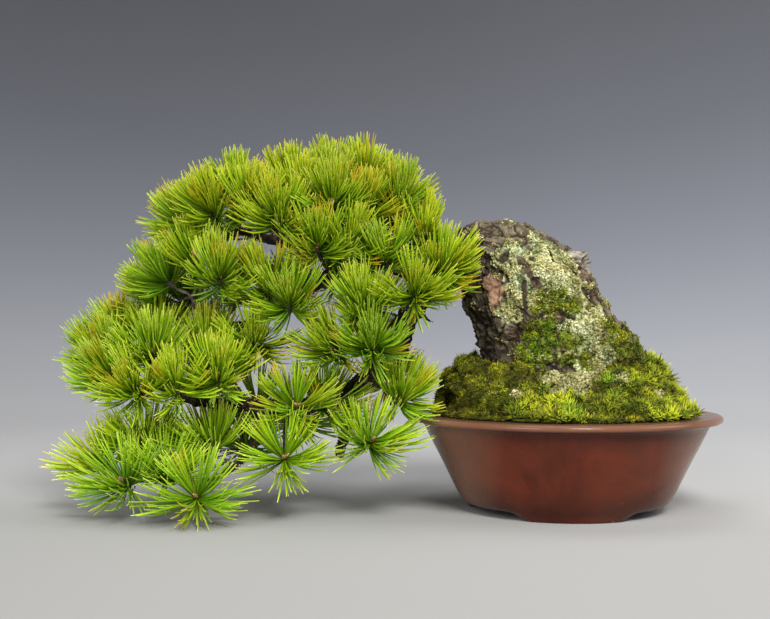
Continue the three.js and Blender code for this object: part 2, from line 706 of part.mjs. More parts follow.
const tree = new THREE.Group();
tree.add(meshOf("pot", makePot(), 0x6a3524, 0.42));
tree.add(meshOf("drain_screen", makeScreen(), 0x26282a, 0.6));
tree.add(meshOf("soil", makeSoil(woodGrown), 0x3a2a1d, 0.95));
for (const [name, sector] of Object.entries(mossSectors)) {
  tree.add(meshOf(name, makeMoss(sector, woodGrown), 0x5f7a1e, 0.95));
}
tree.add(meshOf("trunk", wood, 0x6e6354, 0.9));
for (const [name, spray] of Object.entries(sprays)) {
  tree.add(meshOf(`spray_${name}`, makeSpray(name, spray, woodGrown), 0x7fae2a, 0.55));
}

// The finished part stands with its box centred on the origin.
const box = new THREE.Box3().setFromObject(tree);
const center = box.getCenter(new THREE.Vector3());
tree.position.set(-center.x, -center.y, -box.min.z);

const bonsai = new THREE.Group();
bonsai.add(tree);
export default bonsai;
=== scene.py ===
# Semi-cascade five-needle pine bonsai in a clay pot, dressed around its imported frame
import math
import random
import bmesh
import bpy
import numpy
from mathutils import Matrix, Quaternion, Vector, noise
from mathutils.bvhtree import BVHTree


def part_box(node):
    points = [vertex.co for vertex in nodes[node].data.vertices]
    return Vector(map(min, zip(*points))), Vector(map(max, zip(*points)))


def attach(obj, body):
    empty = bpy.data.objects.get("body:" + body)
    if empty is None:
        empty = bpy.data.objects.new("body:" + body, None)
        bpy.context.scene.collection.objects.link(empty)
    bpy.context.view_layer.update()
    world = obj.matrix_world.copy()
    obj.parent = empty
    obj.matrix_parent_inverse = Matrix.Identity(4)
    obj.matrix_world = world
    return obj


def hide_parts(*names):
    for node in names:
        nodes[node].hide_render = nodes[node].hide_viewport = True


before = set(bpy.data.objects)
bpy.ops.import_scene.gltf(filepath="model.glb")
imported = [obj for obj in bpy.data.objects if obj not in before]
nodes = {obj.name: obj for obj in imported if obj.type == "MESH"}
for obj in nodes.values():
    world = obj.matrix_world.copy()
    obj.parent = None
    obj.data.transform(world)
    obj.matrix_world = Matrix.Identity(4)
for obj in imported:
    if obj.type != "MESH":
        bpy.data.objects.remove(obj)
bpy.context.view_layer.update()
mm = 0.001
seed = 41
random.seed(seed)
noise.seed_set(seed)

potLow, potHigh = (Vector(corner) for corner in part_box("pot"))
potAxis = Vector(((potLow.x + potHigh.x) / 2, (potLow.y + potHigh.y) / 2, 0))


def fromPot(x, y, z):
    # a place measured from the pot's axis on the ground, in mm
    return potAxis + Vector((x, y, z)) * mm


def inMm(place):
    # the way back: mm from the pot's axis, the unit of every table of patches below
    return (place - potAxis) / mm


def smoothStep(low, high, value):
    share = min(1.0, max(0.0, (value - low) / (high - low)))
    return share * share * (3 - 2 * share)


def anyTurn():
    return random.uniform(0, math.tau)


def evenTurn(start, i, count, loose):
    # the i-th of some turns that share a circle, each a little off its place
    return start + math.tau * (i + random.uniform(-loose, loose)) / count


def around(axis, turn):
    return Quaternion(axis, turn) @ axis.orthogonal().normalized()


def jitter(amount):
    return Vector([random.uniform(-amount, amount) for _ in range(3)])


# Camera at the photo's viewing angle; image size taken as 770 x 619
view = {
    "fromPot": (-122.7, -860.3, 130.0),
    "focalPixels": 1260.0,
    "imageWidth": 770.0,
    "middleRow": 309.5,
    "horizonRow": 318.0,
    "sensor": 36.0,
}


def makeCamera():
    data = bpy.data.cameras.new("camera")
    data.sensor_width = view["sensor"]
    data.lens = view["sensor"] * view["focalPixels"] / view["imageWidth"]
    data.shift_y = (view["horizonRow"] - view["middleRow"]) / view["imageWidth"]
    camera = bpy.data.objects.new("camera", data)
    camera.location = fromPot(*view["fromPot"])
    camera.rotation_euler = (math.radians(90), 0, 0)
    bpy.context.scene.collection.objects.link(camera)
    bpy.context.scene.camera = camera


makeCamera()
print("camera is set")


# Material helpers: they all work on the node tree of the newest material
paint = {}


def newMaterial(name, roughness=0.5, specular=0.5):
    material = bpy.data.materials.new(name)
    material.use_nodes = True
    shader = material.node_tree.nodes["Principled BSDF"]
    shader.inputs["Roughness"].default_value = roughness
    shader.inputs["Specular IOR Level"].default_value = specular
    paint["tree"] = material.node_tree
    paint["shader"] = shader
    return material


def addNode(kind, settings, inputs):
    # an input is a socket to link, a three-part color or a plain value
    node = paint["tree"].nodes.new(kind)
    for key, value in settings.items():
        setattr(node, key, value)
    for key, value in inputs.items():
        socket = node.inputs[key]
        if isinstance(value, bpy.types.NodeSocket):
            paint["tree"].links.new(value, socket)
        else:
            socket.default_value = (*value, 1.0) if socket.type == "RGBA" else value
    return node


def objectPlace(scale=(1, 1, 1)):
    coords = addNode("ShaderNodeTexCoord", {}, {}).outputs["Object"]
    return addNode("ShaderNodeMapping", {}, {"Vector": coords, "Scale": scale}).outputs[0]


def noiseAt(place, scale, detail=4.0, rough=0.55, distortion=0.0):
    inputs = {"Vector": place, "Scale": scale, "Detail": detail, "Roughness": rough, "Distortion": distortion}
    return addNode("ShaderNodeTexNoise", {}, inputs).outputs["Fac"]


def rampOf(factor, *stops):
    # a stop is (share, color), and a color that is one number is a grey
    node = addNode("ShaderNodeValToRGB", {}, {"Fac": factor})
    ramp = node.color_ramp
    while len(ramp.elements) < len(stops):
        ramp.elements.new(0.5)
    for element, (spot, color) in zip(ramp.elements, stops):
        element.position = spot
        element.color = (*(color if isinstance(color, tuple) else (color, color, color)), 1.0)
    return node.outputs["Color"]


def mixColor(factor, one, other, blend="MIX"):
    settings = {"data_type": "RGBA", "blend_type": blend, "clamp_factor": True}
    return addNode("ShaderNodeMix", settings, {0: factor, 6: one, 7: other}).outputs[2]


def tinted(color, tint):
    return mixColor(1.0, color, tint, "MULTIPLY")


def mathOf(operation, one, other=0.0, clamp=False):
    settings = {"operation": operation, "use_clamp": clamp}
    return addNode("ShaderNodeMath", settings, {0: one, 1: other}).outputs[0]


def times(one, other, clamp=False):
    return mathOf("MULTIPLY", one, other, clamp)


def plus(one, other, clamp=False):
    return mathOf("ADD", one, other, clamp)


def attributeOf(name):
    return addNode("ShaderNodeAttribute", {"attribute_name": name}, {}).outputs["Fac"]


def partsOf(place):
    return addNode("ShaderNodeSeparateXYZ", {}, {"Vector": place}).outputs


def toShader(socket, name="Base Color"):
    paint["tree"].links.new(socket, paint["shader"].inputs[name])


def addBump(height, strength, distance):
    inputs = {"Height": height, "Strength": strength, "Distance": distance}
    toShader(addNode("ShaderNodeBump", {}, inputs).outputs["Normal"], "Normal")


def speckled(name, roughness, grain, *stops):
    # a material with one speckled color; the grain is the noise's scale, detail and roughness
    material = newMaterial(name, roughness)
    toShader(rampOf(noiseAt(objectPlace(), *grain), *stops))
    return material


# Piece helpers

def finishPiece(name, mesh, material, slot, *replaced):
    piece = bpy.data.objects.new(name, mesh)
    bpy.context.scene.collection.objects.link(piece)
    mesh.materials.clear()
    mesh.materials.append(material)
    mesh.shade_smooth()
    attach(piece, "root")
    if replaced:
        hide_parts(*replaced)
    return piece


def meshOf(name, form):
    mesh = bpy.data.meshes.new(name)
    form.to_mesh(mesh)
    form.free()
    return mesh


def mergedCopy(nodeName):
    form = bmesh.new()
    form.from_mesh(nodes[nodeName].data)
    bmesh.ops.remove_doubles(form, verts=form.verts, dist=0.01 * mm)
    return form


def remeshed(form, voxel):
    # an even skin of small faces over a closed form
    holder = bpy.data.objects.new("holder", meshOf("holder", form))
    bpy.context.scene.collection.objects.link(holder)
    remesh = holder.modifiers.new("remesh", "REMESH")
    remesh.mode = "VOXEL"
    remesh.voxel_size = voxel
    graph = bpy.context.evaluated_depsgraph_get()
    mesh = bpy.data.meshes.new_from_object(holder.evaluated_get(graph))
    bpy.data.objects.remove(holder)
    out = bmesh.new()
    out.from_mesh(mesh)
    bpy.data.meshes.remove(mesh)
    return out


def relax(form, verts, rounds=1):
    for _ in range(rounds):
        bmesh.ops.smooth_vert(form, verts=verts, factor=0.5,
                              use_axis_x=True, use_axis_y=True, use_axis_z=True)
    form.normal_update()


def shift(form, moves):
    for vert, move in zip(form.verts, moves):
        vert.co += move


def spun(points, middle, turns, closed):
    # a form turned round an upright axis from one line of points
    form = bmesh.new()
    line = [form.verts.new(point) for point in points]
    pairs = list(zip(line, line[1:])) + ([(line[-1], line[0])] if closed else [])
    edges = [form.edges.new(pair) for pair in pairs]
    bmesh.ops.spin(form, geom=line + edges, cent=middle, axis=(0, 0, 1), angle=math.tau, steps=turns,
                   use_merge=True)
    return form


def formArrays(form):
    # a small form as plain arrays: its vertex places, its triangles and its float layers
    bmesh.ops.triangulate(form, faces=form.faces)
    form.verts.ensure_lookup_table()
    places = numpy.array([vert.co[:] for vert in form.verts])
    corners = numpy.array([[vert.index for vert in face.verts] for face in form.faces])
    layers = {}
    for key, layer in form.verts.layers.float.items():
        layers[key] = numpy.array([vert[layer] for vert in form.verts])
    form.free()
    return places, corners, layers


def plantCopies(name, forms, spots, lowest=0.0):
    # one mesh of many placed copies; a spot is (form number, matrix, {layer: value}, bow)
    places, corners, layers = [], [], {}
    count = 0
    for number, matrix, tints, bow in spots:
        formPlaces, formCorners, formLayers = forms[number]
        turn = numpy.array(matrix)
        placed = formPlaces @ turn[:3, :3].T + turn[:3, 3]
        if bow is not None:
            # a bowed copy leaves its straight line in the middle and meets it again at its tip
            along = formLayers["along"]
            placed += numpy.outer(4 * along * (1 - along), bow)
        places.append(placed)
        corners.append(formCorners + count)
        for key, values in formLayers.items():
            layers.setdefault(key, []).append(values)
        for key, value in tints.items():
            layers.setdefault(key, []).append(numpy.full(len(formPlaces), value))
        count += len(formPlaces)
    places = numpy.concatenate(places)
    places[:, 2] = numpy.maximum(places[:, 2], lowest)
    corners = numpy.concatenate(corners)
    mesh = bpy.data.meshes.new(name)
    mesh.vertices.add(len(places))
    mesh.vertices.foreach_set("co", places.ravel())
    mesh.loops.add(corners.size)
    mesh.loops.foreach_set("vertex_index", corners.ravel())
    mesh.polygons.add(len(corners))
    mesh.polygons.foreach_set("loop_start", numpy.arange(0, corners.size, 3))
    mesh.update(calc_edges=True)
    for key, values in layers.items():
        attribute = mesh.attributes.new(key, "FLOAT", "POINT")
        attribute.data.foreach_set("value", numpy.concatenate(values))
    return mesh


def alongMatrix(place, way, roll, scale):
    # stands a form that grows along its own +Z on a place, along a way
    turn = way.to_track_quat("Z", "Y").to_matrix().to_4x4()
    size = Matrix.Diagonal((*scale, 1.0))
    return Matrix.Translation(place) @ turn @ Matrix.Rotation(roll, 4, "Z") @ size


# Pot: unglazed red-brown clay, spun from one profile, its foot ring lifted into three arches
potShape = {
    "height": 65.0,
    # how far from the axis the painted sheen at the wall's ends reaches its full grey
    "sheenReach": 100 * mm,
    "turns": 160,
    "footAzimuth": -92.0,
    "feet": 3,
    "footHalf": 24.0,
    "archHalf": 41.0,
    "archHeight": 5.6 * mm,
    "footInside": 56 * mm,
    "swell": 0.35,
    "swellPerMetre": 22,
    "swellAbove": 8 * mm,
    "chip": (-69.5, -78.5, 64.6),
    "chipRadius": 3.2 * mm,
    "chipDepth": 0.9 * mm,
    "profile": [
        (11.5, 6.0), (30.0, 6.1), (54.0, 6.0), (57.4, 5.6), (58.6, 4.2), (59.2, 1.0), (60.2, 0.0),
        (64.6, 0.0), (65.9, 0.6), (66.6, 2.0), (67.8, 4.0), (69.3, 6.2), (71.6, 9.2), (75.0, 15.2),
        (79.4, 24.2), (83.9, 33.6), (88.6, 42.8), (92.4, 50.4), (94.9, 55.6), (96.6, 58.8),
        (98.4, 60.1), (101.4, 60.5), (103.8, 60.8), (104.8, 61.6), (105.0, 62.8), (104.7, 64.0),
        (103.6, 64.8), (102.0, 65.0), (95.0, 64.9), (88.0, 64.8), (86.0, 64.3), (84.9, 62.8),
        (84.2, 56.0), (80.0, 44.0), (75.0, 33.0), (66.5, 18.0), (62.0, 14.0), (36.0, 14.0), (11.5, 14.0),
    ],
}


def makePot():
    shape = potShape
    form = spun([fromPot(radius, 0, z) for radius, z in shape["profile"]], potAxis, shape["turns"], True)
    bmesh.ops.recalc_face_normals(form, faces=form.faces)
    arch = shape["archHeight"]
    footTurn = 360 / shape["feet"]
    for vert in form.verts:
        place = vert.co - potAxis
        if place.z >= arch or place.xy.length < shape["footInside"]:
            continue
        azimuth = math.degrees(math.atan2(place.y, place.x)) - shape["footAzimuth"]
        away = abs((azimuth + footTurn / 2) % footTurn - footTurn / 2)
        vert.co.z = place.z + (arch - place.z) * smoothStep(shape["footHalf"], shape["archHalf"], away)
    chip = fromPot(*shape["chip"])
    for vert in form.verts:
        # hand-made clay is never quite round, and the lip has one small chip
        swell = noise.noise(vert.co * shape["swellPerMetre"]) * shape["swell"] * mm
        if vert.co.z > shape["swellAbove"]:
            vert.co += Vector((vert.co.x - potAxis.x, vert.co.y - potAxis.y, 0)).normalized() * swell
        near = (vert.co - chip).length / shape["chipRadius"]
        vert.co.z -= shape["chipDepth"] * max(0.0, 1 - near)
    return meshOf("pot", form)


def clayMaterial():
    material = newMaterial("redBrownClay", specular=0.2)
    place = objectPlace()
    cloud = noiseAt(place, 18, 6, 0.62, 0.6)
    color = rampOf(cloud, (0.32, (0.034, 0.005, 0.002)), (0.5, (0.064, 0.007, 0.002)),
                   (0.66, (0.112, 0.013, 0.003)))
    parts = partsOf(place)
    level = times(parts["Z"], 1 / (potShape["height"] * mm))
    # painted shade: the wall darkens towards its foot and again from just under the lip upwards
    shade = rampOf(level, (0.0, (0.75, 0.7, 0.7)), (0.1, 0.42), (0.35, 0.85), (0.8, 1.0),
                   (0.9, (0.75, 0.75, 0.8)))
    color = tinted(color, shade)
    # painted sheen: the wall turns grey-brown towards its two ends and the lip is greyed as a painted
    # highlight; a cloudy grey-brown bloom, the clay's own, lies in patches all over
    across = mathOf("ABSOLUTE", mathOf("SUBTRACT", parts["X"], potAxis.x))
    ends = rampOf(times(across, 1 / potShape["sheenReach"]), (0.48, 0.0), (0.95, 0.95))
    cloudy = rampOf(noiseAt(place, 9, 4), (0.45, 0.0), (0.8, 0.2))
    lip = rampOf(level, (0.925, 0.0), (0.955, 0.42))
    sheenAndBloom = plus(mathOf("MAXIMUM", ends, lip), cloudy, True)
    color = mixColor(sheenAndBloom, color, (0.22, 0.112, 0.066))
    # a few pale grains lie in the clay
    grains = addNode("ShaderNodeTexVoronoi", {}, {"Vector": place, "Scale": 130.0}).outputs["Distance"]
    spot = rampOf(grains, (0.0, 1.0), (0.09, 1.0), (0.12, 0.0))
    few = rampOf(noiseAt(place, 60, 2), (0.62, 0.0), (0.66, 1.0))
    color = mixColor(times(spot, few), color, (0.30, 0.17, 0.11))
    toShader(color)
    rough = rampOf(noiseAt(place, 45, 4), (0.3, 0.20), (0.7, 0.32))
    polish = rampOf(level, (0.9, 1.0), (0.94, 0.6))
    toShader(tinted(rough, polish), "Roughness")
    sheen = paint["shader"].inputs
    sheen["Sheen Weight"].default_value = 0.07
    sheen["Sheen Roughness"].default_value = 0.2
    sheen["Sheen Tint"].default_value = (0.9, 0.75, 0.65, 1)
    # rings from the wheel
    wheel = noiseAt(objectPlace((1, 1, 40)), 12, 3)
    addBump(plus(noiseAt(place, 900, 3), times(wheel, 1.5)), 0.2, 0.0003)
    return material


finishPiece("pot_clay_body", makePot(), clayMaterial(), "pot_clay", "pot")
print("pot is turned")


# Wood: the trunk's CAD form, skinned evenly, then broken into bark plates; bare lengths in mm
barkShape = {
    "voxel": 2.05 * mm,
    "stumpStart": (-92, -66),
    "stumpPlate": 6.0,
    "stumpDepth": 2.1,
    "limbPlate": 3.6,
    "limbDepth": 0.7,
    "crackWidth": 0.2,
    "warp": 2.4,
    "fineWarp": 0.7,
    "flakeSteps": 4,
    "swell": 1.6,
    "lichenRuffle": 0.9,
    "pitSpacing": 5.5,
    "pitDepth": 1.8,
    "fineHollow": 5,
    # a finer skin in front: its cuts, between two places along x, above a height
    "finerSkin": [(2, -72, 120, 85), (1, -400, -72, 0)],
    "finerFront": 10,
}
# Patches on the stump: middle from the pot's axis and radius
stumpPatches = {
    "lichen": [((-38, -35, 171), 13), ((-31, -39, 158), 14), ((-8, -32, 165), 15), ((-7, -35, 152), 15),
               ((11, -36, 129), 14), ((4, -38, 121), 12), ((18, -37, 112), 14), ((-42, -36, 135), 9),
               ((-20, -36, 144), 12), ((12, -43, 98), 13), ((-20, -30, 182), 9), ((4, -40, 106), 12),
               ((-36, 32, 160), 22), ((2, 36, 138), 24), ((24, 32, 112), 18), ((-30, 38, 122), 14)],
    "moss": [((-18, -38, 139), 6), ((-8, -37, 143), 6), ((1, -35, 139), 6), ((-25, -40, 134), 4),
             ((-27, -40, 119), 8), ((-17, -42, 122), 8), ((-7, -42, 115), 8), ((-22, -40, 108), 9),
             ((27, -31, 125), 8), ((33, -31, 116), 11), ((40, -32, 109), 12), ((44, -10, 112), 14),
             ((-34, -38, 104), 8), ((2, -42, 113), 6.5), ((9, -43, 103), 7), ((-3, -44, 103), 5.5),
             ((30, 30, 118), 13), ((-14, 42, 110), 14), ((54, 4, 98), 16)],
    "red": [((-52, -29, 154), 6.0), ((-51, -30, 149), 7.0), ((-50, -31, 143), 6.0)],
    "pale": [((8, -10, 170), 7), ((12, -14, 164), 5)],
    "brown": [((-26, -38, 159), 7), ((-20, -38, 150), 6), ((-35, -38, 121), 6), ((-40, -32, 114), 6),
              ((-43, -29, 107), 6), ((-9, -38, 131), 4), ((20, -22, 142), 8), ((13, -26, 155), 8)],
}
# Hollows: two ends, radius and depth
stumpHollows = [((-33, -38, 169), (-19, -40, 147), 5.0, 3.0), ((-20, -40, 131), (-11, -38, 136), 1.9, 3.0),
                ((-11, -38, 136), (1, -38, 130), 1.9, 3.0), ((-36, -36, 121), (-43, -29, 106), 5.0, 3.0),
                ((-47, -34, 160), (-49, -30, 140), 1.8, 2.6), ((-32, -39, 153), (-31, -40, 138), 2.4, 2.8),
                ((-2, -34, 172), (4, -30, 160), 1.6, 2.0), ((8, -32, 150), (16, -30, 138), 1.8, 2.0),
                ((-43, -35, 174), (-46, -34, 168), 3.2, 3.2), ((-44, -36, 157), (-41, -38, 143), 1.8, 2.6),
                ((-37, -40, 137), (-28, -41, 129), 2.2, 2.8), ((-10, -42, 124), (-3, -42, 121), 1.5, 2.2),
                ((0, -44, 107), (8, -42, 104), 2.0, 2.4), ((-16, -44, 105), (-10, -45, 101), 2.0, 2.4),
                ((14, -36, 122), (22, -34, 116), 1.6, 2.2), ((-14, -30, 178), (-12, -33, 166), 1.3, 2.0)]


def patchShare(place, patches, soft):
    # 1 inside a patch, 0 outside, with a ragged edge
    ragged = 0.5 * noise.noise(place * 0.16) + 0.35 * noise.noise(place * 0.45)
    best = 0.0
    for middle, radius in patches:
        away = (place - Vector(middle)).length / radius
        best = max(best, 1 - smoothStep(1 - soft, 1 + soft, away + ragged))
    return best


def hollowShare(place, start, end, radius):
    # 1 on the hollow's line, 0 beyond its radius
    start = Vector(start)
    line = Vector(end) - start
    share = min(1.0, max(0.0, (place - start).dot(line) / line.length_squared))
    away = (place - start - line * share).length / radius + 0.5 * noise.noise(place * 0.35)
    return 1 - smoothStep(0.4, 1.3, away)


def plates(place, size, crackWidth):
    # 1 on a bark plate and 0 in a crack, and the height of the plate
    near, points = noise.voronoi(place / size)
    return smoothStep(crackWidth * 0.2, crackWidth, near[1] - near[0]), noise.cell(points[0] * 7.3)


def terrace(value, steps):
    # turns a smooth swell into flakes that lie over each other
    low = math.floor(value * steps)
    return (low + smoothStep(0.7, 1.0, value * steps - low)) / steps


def alongGrain(place):
    # bark plates are longer along the grain, which runs up the stump and then over its top
    over = smoothStep(158, 176, place.z + 0.3 * (place.x + 30))
    grain = Vector((-0.35, 0, 1)).lerp(Vector((-1, 0, 0.1)), over).normalized()
    spot = place - Vector((-30, 0, 165))
    return spot - grain * (spot.dot(grain) * 0.5)


def skinOfTrunk():
    shape = barkShape
    form = remeshed(mergedCopy("trunk"), shape["voxel"])
    relax(form, form.verts)
    # what shows in front gets a finer skin: the stump most, the limbs a little
    for cuts, low, high, bottom in shape["finerSkin"]:
        near = []
        for face in form.faces:
            middle = inMm(face.calc_center_median())
            front = face.normal.y < 0.3 and middle.y < shape["finerFront"]
            if front and middle.z > bottom and low < middle.x <= high:
                near.append(face)
        edges = list({edge for face in near for edge in face.edges})
        bmesh.ops.subdivide_edges(form, edges=edges, cuts=cuts, use_grid_fill=True)
    bmesh.ops.triangulate(form, faces=form.faces)
    relax(form, form.verts)
    return form


def barkAt(place):
    # how far the bark stands out at a place, and its values for the material
    shape = barkShape
    onStump = smoothStep(*shape["stumpStart"], place.x)
    size = shape["limbPlate"] + (shape["stumpPlate"] - shape["limbPlate"]) * onStump
    depth = shape["limbDepth"] + (shape["stumpDepth"] - shape["limbDepth"]) * onStump
    warp = noise.noise_vector(place * 0.12) * shape["warp"]
    spot = alongGrain(place + warp + noise.noise_vector(place * 0.4) * shape["fineWarp"])
    flat, high = plates(spot, size, shape["crackWidth"])
    flatSmall, highSmall = plates(spot + Vector((40, 0, 0)), size * 0.5, 0.25)
    lichen = patchShare(place, stumpPatches["lichen"], 0.35) * onStump
    kinds = ("moss", "red", "brown", "pale")
    moss, red, brown, pale = (patchShare(place, stumpPatches[kind], 0.3) for kind in kinds)
    flake = terrace(noise.fractal(spot * 0.2, 0.9, 2.0, 4), shape["flakeSteps"])
    rough = depth * (0.6 * flat + 0.6 * high * flat - 0.75) + 0.35 * depth * (flatSmall * highSmall - 0.4)
    rough += (0.4 + 1.7 * onStump) * flake
    fine = noise.fractal(place * 0.42, 0.8, 2.2, 5) * (0.25 + 0.35 * onStump)
    ruffle = shape["lichenRuffle"] * (noise.turbulence(place * 0.28, 4, True) - 1)
    bare = 1 - 0.75 * lichen
    move = rough * bare * (1 - red) + fine * (1 - 0.7 * red) + ruffle * lichen
    move += noise.noise(place * 0.07) * shape["swell"] * onStump + shape["swell"] * red
    # the lichen's crust is pitted
    pit = (1 - smoothStep(0.12, 0.30, noise.voronoi(spot / shape["pitSpacing"])[0][0])) * lichen
    move -= shape["pitDepth"] * pit
    # the crack mask covers cracks, pits and hollows; the material paints shade into them
    crack = max((1 - flat) * bare, pit)
    for start, end, radius, deep in stumpHollows:
        share = hollowShare(place, start, end, radius)
        move -= share * deep
        crack = max(crack, share * (0.9 if radius < shape["fineHollow"] else 0.45))
        lichen *= 1 - share
    # painted shade: the stump's left side is darkened
    shaded = 1 - smoothStep(-64, -46, place.x + 0.25 * (place.z - 150))
    return move, {"lichen": lichen, "moss": moss * onStump, "red": red, "brown": brown * onStump,
                  "pale": pale, "crack": crack * (1 - 0.9 * red), "stump": onStump,
                  "shade": onStump * shaded, "rise": rough / depth}


def makeTrunk():
    form = skinOfTrunk()
    bark = [barkAt(inMm(vert.co)) for vert in form.verts]
    layers = {key: form.verts.layers.float.new(key) for key in bark[0][1]}
    for vert, (move, values) in zip(form.verts, bark):
        for key, value in values.items():
            vert[layers[key]] = value
    shift(form, [vert.normal * move * mm for vert, (move, values) in zip(form.verts, bark)])
    return meshOf("trunk", form)


def barkMaterial():
    material = newMaterial("oldPineBark", 0.88, 0.2)
    place = objectPlace()
    rise = times(attributeOf("rise"), 0.11)
    coarse = plus(noiseAt(place, 110, 6, 0.68, 0.5), rise)
    streak = noiseAt(objectPlace((0.45, 1, 1.5)), 240, 5, 0.65)
    crumb = noiseAt(place, 480, 5, 0.72)
    bark = rampOf(coarse, (0.32, (0.035, 0.027, 0.016)), (0.45, (0.10, 0.080, 0.048)),
                  (0.56, (0.19, 0.155, 0.10)), (0.72, (0.40, 0.35, 0.25)))
    dirt = rampOf(streak, (0.36, (0.02, 0.014, 0.008)), (0.62, (0.24, 0.19, 0.12)))
    limb = rampOf(coarse, (0.3, (0.018, 0.013, 0.008)), (0.55, (0.06, 0.044, 0.026)),
                  (0.75, (0.16, 0.12, 0.075)))
    color = mixColor(attributeOf("stump"), limb, mixColor(0.4, bark, dirt))
    brown = rampOf(streak, (0.35, (0.036, 0.024, 0.015)), (0.65, (0.20, 0.135, 0.085)))
    color = mixColor(attributeOf("brown"), color, brown)
    dead = rampOf(streak, (0.35, (0.13, 0.11, 0.085)), (0.6, (0.38, 0.35, 0.28)))
    color = mixColor(attributeOf("pale"), color, dead)
    yellow = rampOf(crumb, (0.34, (0.07, 0.065, 0.022)), (0.44, (0.25, 0.25, 0.095)),
                    (0.55, (0.46, 0.46, 0.21)), (0.68, (0.72, 0.70, 0.42)))
    grey = rampOf(crumb, (0.36, (0.07, 0.08, 0.04)), (0.5, (0.30, 0.345, 0.18)), (0.66, (0.60, 0.66, 0.42)))
    crust = mixColor(rampOf(noiseAt(place, 55, 3), (0.45, 0.0), (0.6, 1.0)), yellow, grey)
    ragged = times(noiseAt(place, 170, 6, 0.75), 1.1)
    patch = rampOf(plus(attributeOf("lichen"), ragged), (0.80, 0.0), (0.98, 1.0))
    color = mixColor(patch, color, crust)
    green = rampOf(noiseAt(place, 330, 4, 0.7), (0.3, (0.025, 0.035, 0.003)),
                   (0.55, (0.13, 0.17, 0.010)), (0.75, (0.34, 0.38, 0.03)))
    color = mixColor(attributeOf("moss"), color, green)
    # painted shade on the stump's left side
    color = mixColor(times(attributeOf("shade"), 0.7), color, (0.010, 0.008, 0.005))
    cut = rampOf(coarse, (0.36, (0.13, 0.07, 0.042)), (0.52, (0.33, 0.19, 0.12)), (0.68, (0.50, 0.33, 0.23)))
    color = mixColor(attributeOf("red"), color, cut)
    # painted shade in cracks, pits and hollows
    color = mixColor(times(attributeOf("crack"), 0.85), color, (0.014, 0.010, 0.006))
    toShader(color)
    addBump(plus(crumb, streak), 0.9, 0.001)
    return material


trunkPiece = finishPiece("trunk_bark", makeTrunk(), barkMaterial(), "wood", "trunk")
print("trunk is barked")


# Sprays: each CAD needle becomes a bundle of five fine ones; cores and twigs become brown wood
needleShape = {
    "length": 33.0 * mm,
    "width": 1.16 * mm,
    "rings": {1: 0.36, 2: 0.74},
    "perBundle": 5,
    "rootApart": 0.4 * mm,
    "spread": 6.8,
    "lowSpread": 11.5,
    "sweep": 3.2 * mm,
    "bend": 1.8 * mm,
    "bow": 0.09,
    "forms": 20,
    "brooms": 4,
    "pull": 0.42,
    "openBelow": 66 * mm,
    "oldAbove": 78 * mm,
    "oldBundles": 4,
    "lowest": 0.35 * mm,
    # how a tip of a CAD needle is told from the wood: its edges are long and nearly alike in direction
    "cadLeast": 8 * mm,
    "cadSlim": 0.35,
    "tuftRadius": 9 * mm,
    "highTufts": (50, 100),
    "broomTilt": (42, 64),
    "oldSize": (0.5, 0.72),
    "innerSize": (0.66, 0.92),
}
twigShape = {"voxel": 1.15 * mm, "rough": 0.6 * mm, "roughPerMetre": 330}
budShape = {"length": 6.4, "width": 1.25, "size": 1.15, "sideSize": (0.6, 0.8), "start": 3.5 * mm,
            "sideStart": 2.6 * mm, "apart": 0.9 * mm}
# How far bundles reach, places in mm: a little longer on top and below, cut short beside the stump
reachShape = {"keep": 1.02, "top": (190, 205), "topGrow": 0.07, "low": 60, "lowGrow": 0.18, "least": 0.5,
              "stumpAbove": 120, "stumpEdge": -60, "crownAbove": 172, "crownEdge": -86}


def needleWidth(share):
    # slim at the root, widest in the middle, blunt at the tip
    return 0.7 + 0.3 * smoothStep(0.0, 0.4, share) - 0.6 * smoothStep(0.74, 1.0, share)


def makeNeedle(tilt, turn, length, bend, tint):
    shape = needleShape
    form = bmesh.new()
    bmesh.ops.create_cone(form, cap_ends=True, segments=3, radius1=shape["width"] / 2,
                          radius2=shape["width"] / 2, depth=length)
    long = [edge for edge in form.edges if abs(edge.verts[0].co.z - edge.verts[1].co.z) > length / 2]
    bmesh.ops.subdivide_edges(form, edges=long, cuts=len(shape["rings"]), use_grid_fill=True)
    bmesh.ops.translate(form, verts=form.verts, vec=(0, 0, length / 2))
    layers = {key: form.verts.layers.float.new(key) for key in ("along", "tint")}
    for vert in form.verts:
        share = vert.co.z / length
        # the rings sit where the needle bends and where its blunt tip begins
        share = shape["rings"].get(round(share * (len(shape["rings"]) + 1)), share)
        vert.co.z = share * length
        vert[layers["along"]] = share
        vert[layers["tint"]] = tint
        width = needleWidth(share)
        vert.co.x = vert.co.x * width + bend * share * share
        vert.co.y *= width
    root = Matrix.Translation((shape["rootApart"], 0, 0))
    turned = Matrix.Rotation(turn, 4, "Z") @ root @ Matrix.Rotation(tilt, 4, "Y")
    bmesh.ops.transform(form, matrix=turned, verts=form.verts)
    return form


def makeBundle(spread):
    # five needles of one sheath, close together, all swept the same way
    shape = needleShape
    whole = bmesh.new()
    start = anyTurn()
    for i in range(shape["perBundle"]):
        turn = evenTurn(start, i, shape["perBundle"], 0.3)
        tilt = math.radians(spread * random.uniform(0.3, 1.2))
        length = shape["length"] * random.uniform(0.88, 1.03)
        needle = makeNeedle(tilt, turn, length, shape["bend"] * random.uniform(-1.0, 0.8), random.random())
        mesh = meshOf("needle", needle)
        whole.from_mesh(mesh)
        bpy.data.meshes.remove(mesh)
    sweep = shape["sweep"] * random.uniform(-0.4, 1.0)
    along = whole.verts.layers.float["along"]
    for vert in whole.verts:
        vert.co.x += sweep * vert[along] * (vert[along] - 0.55)
    return formArrays(whole)


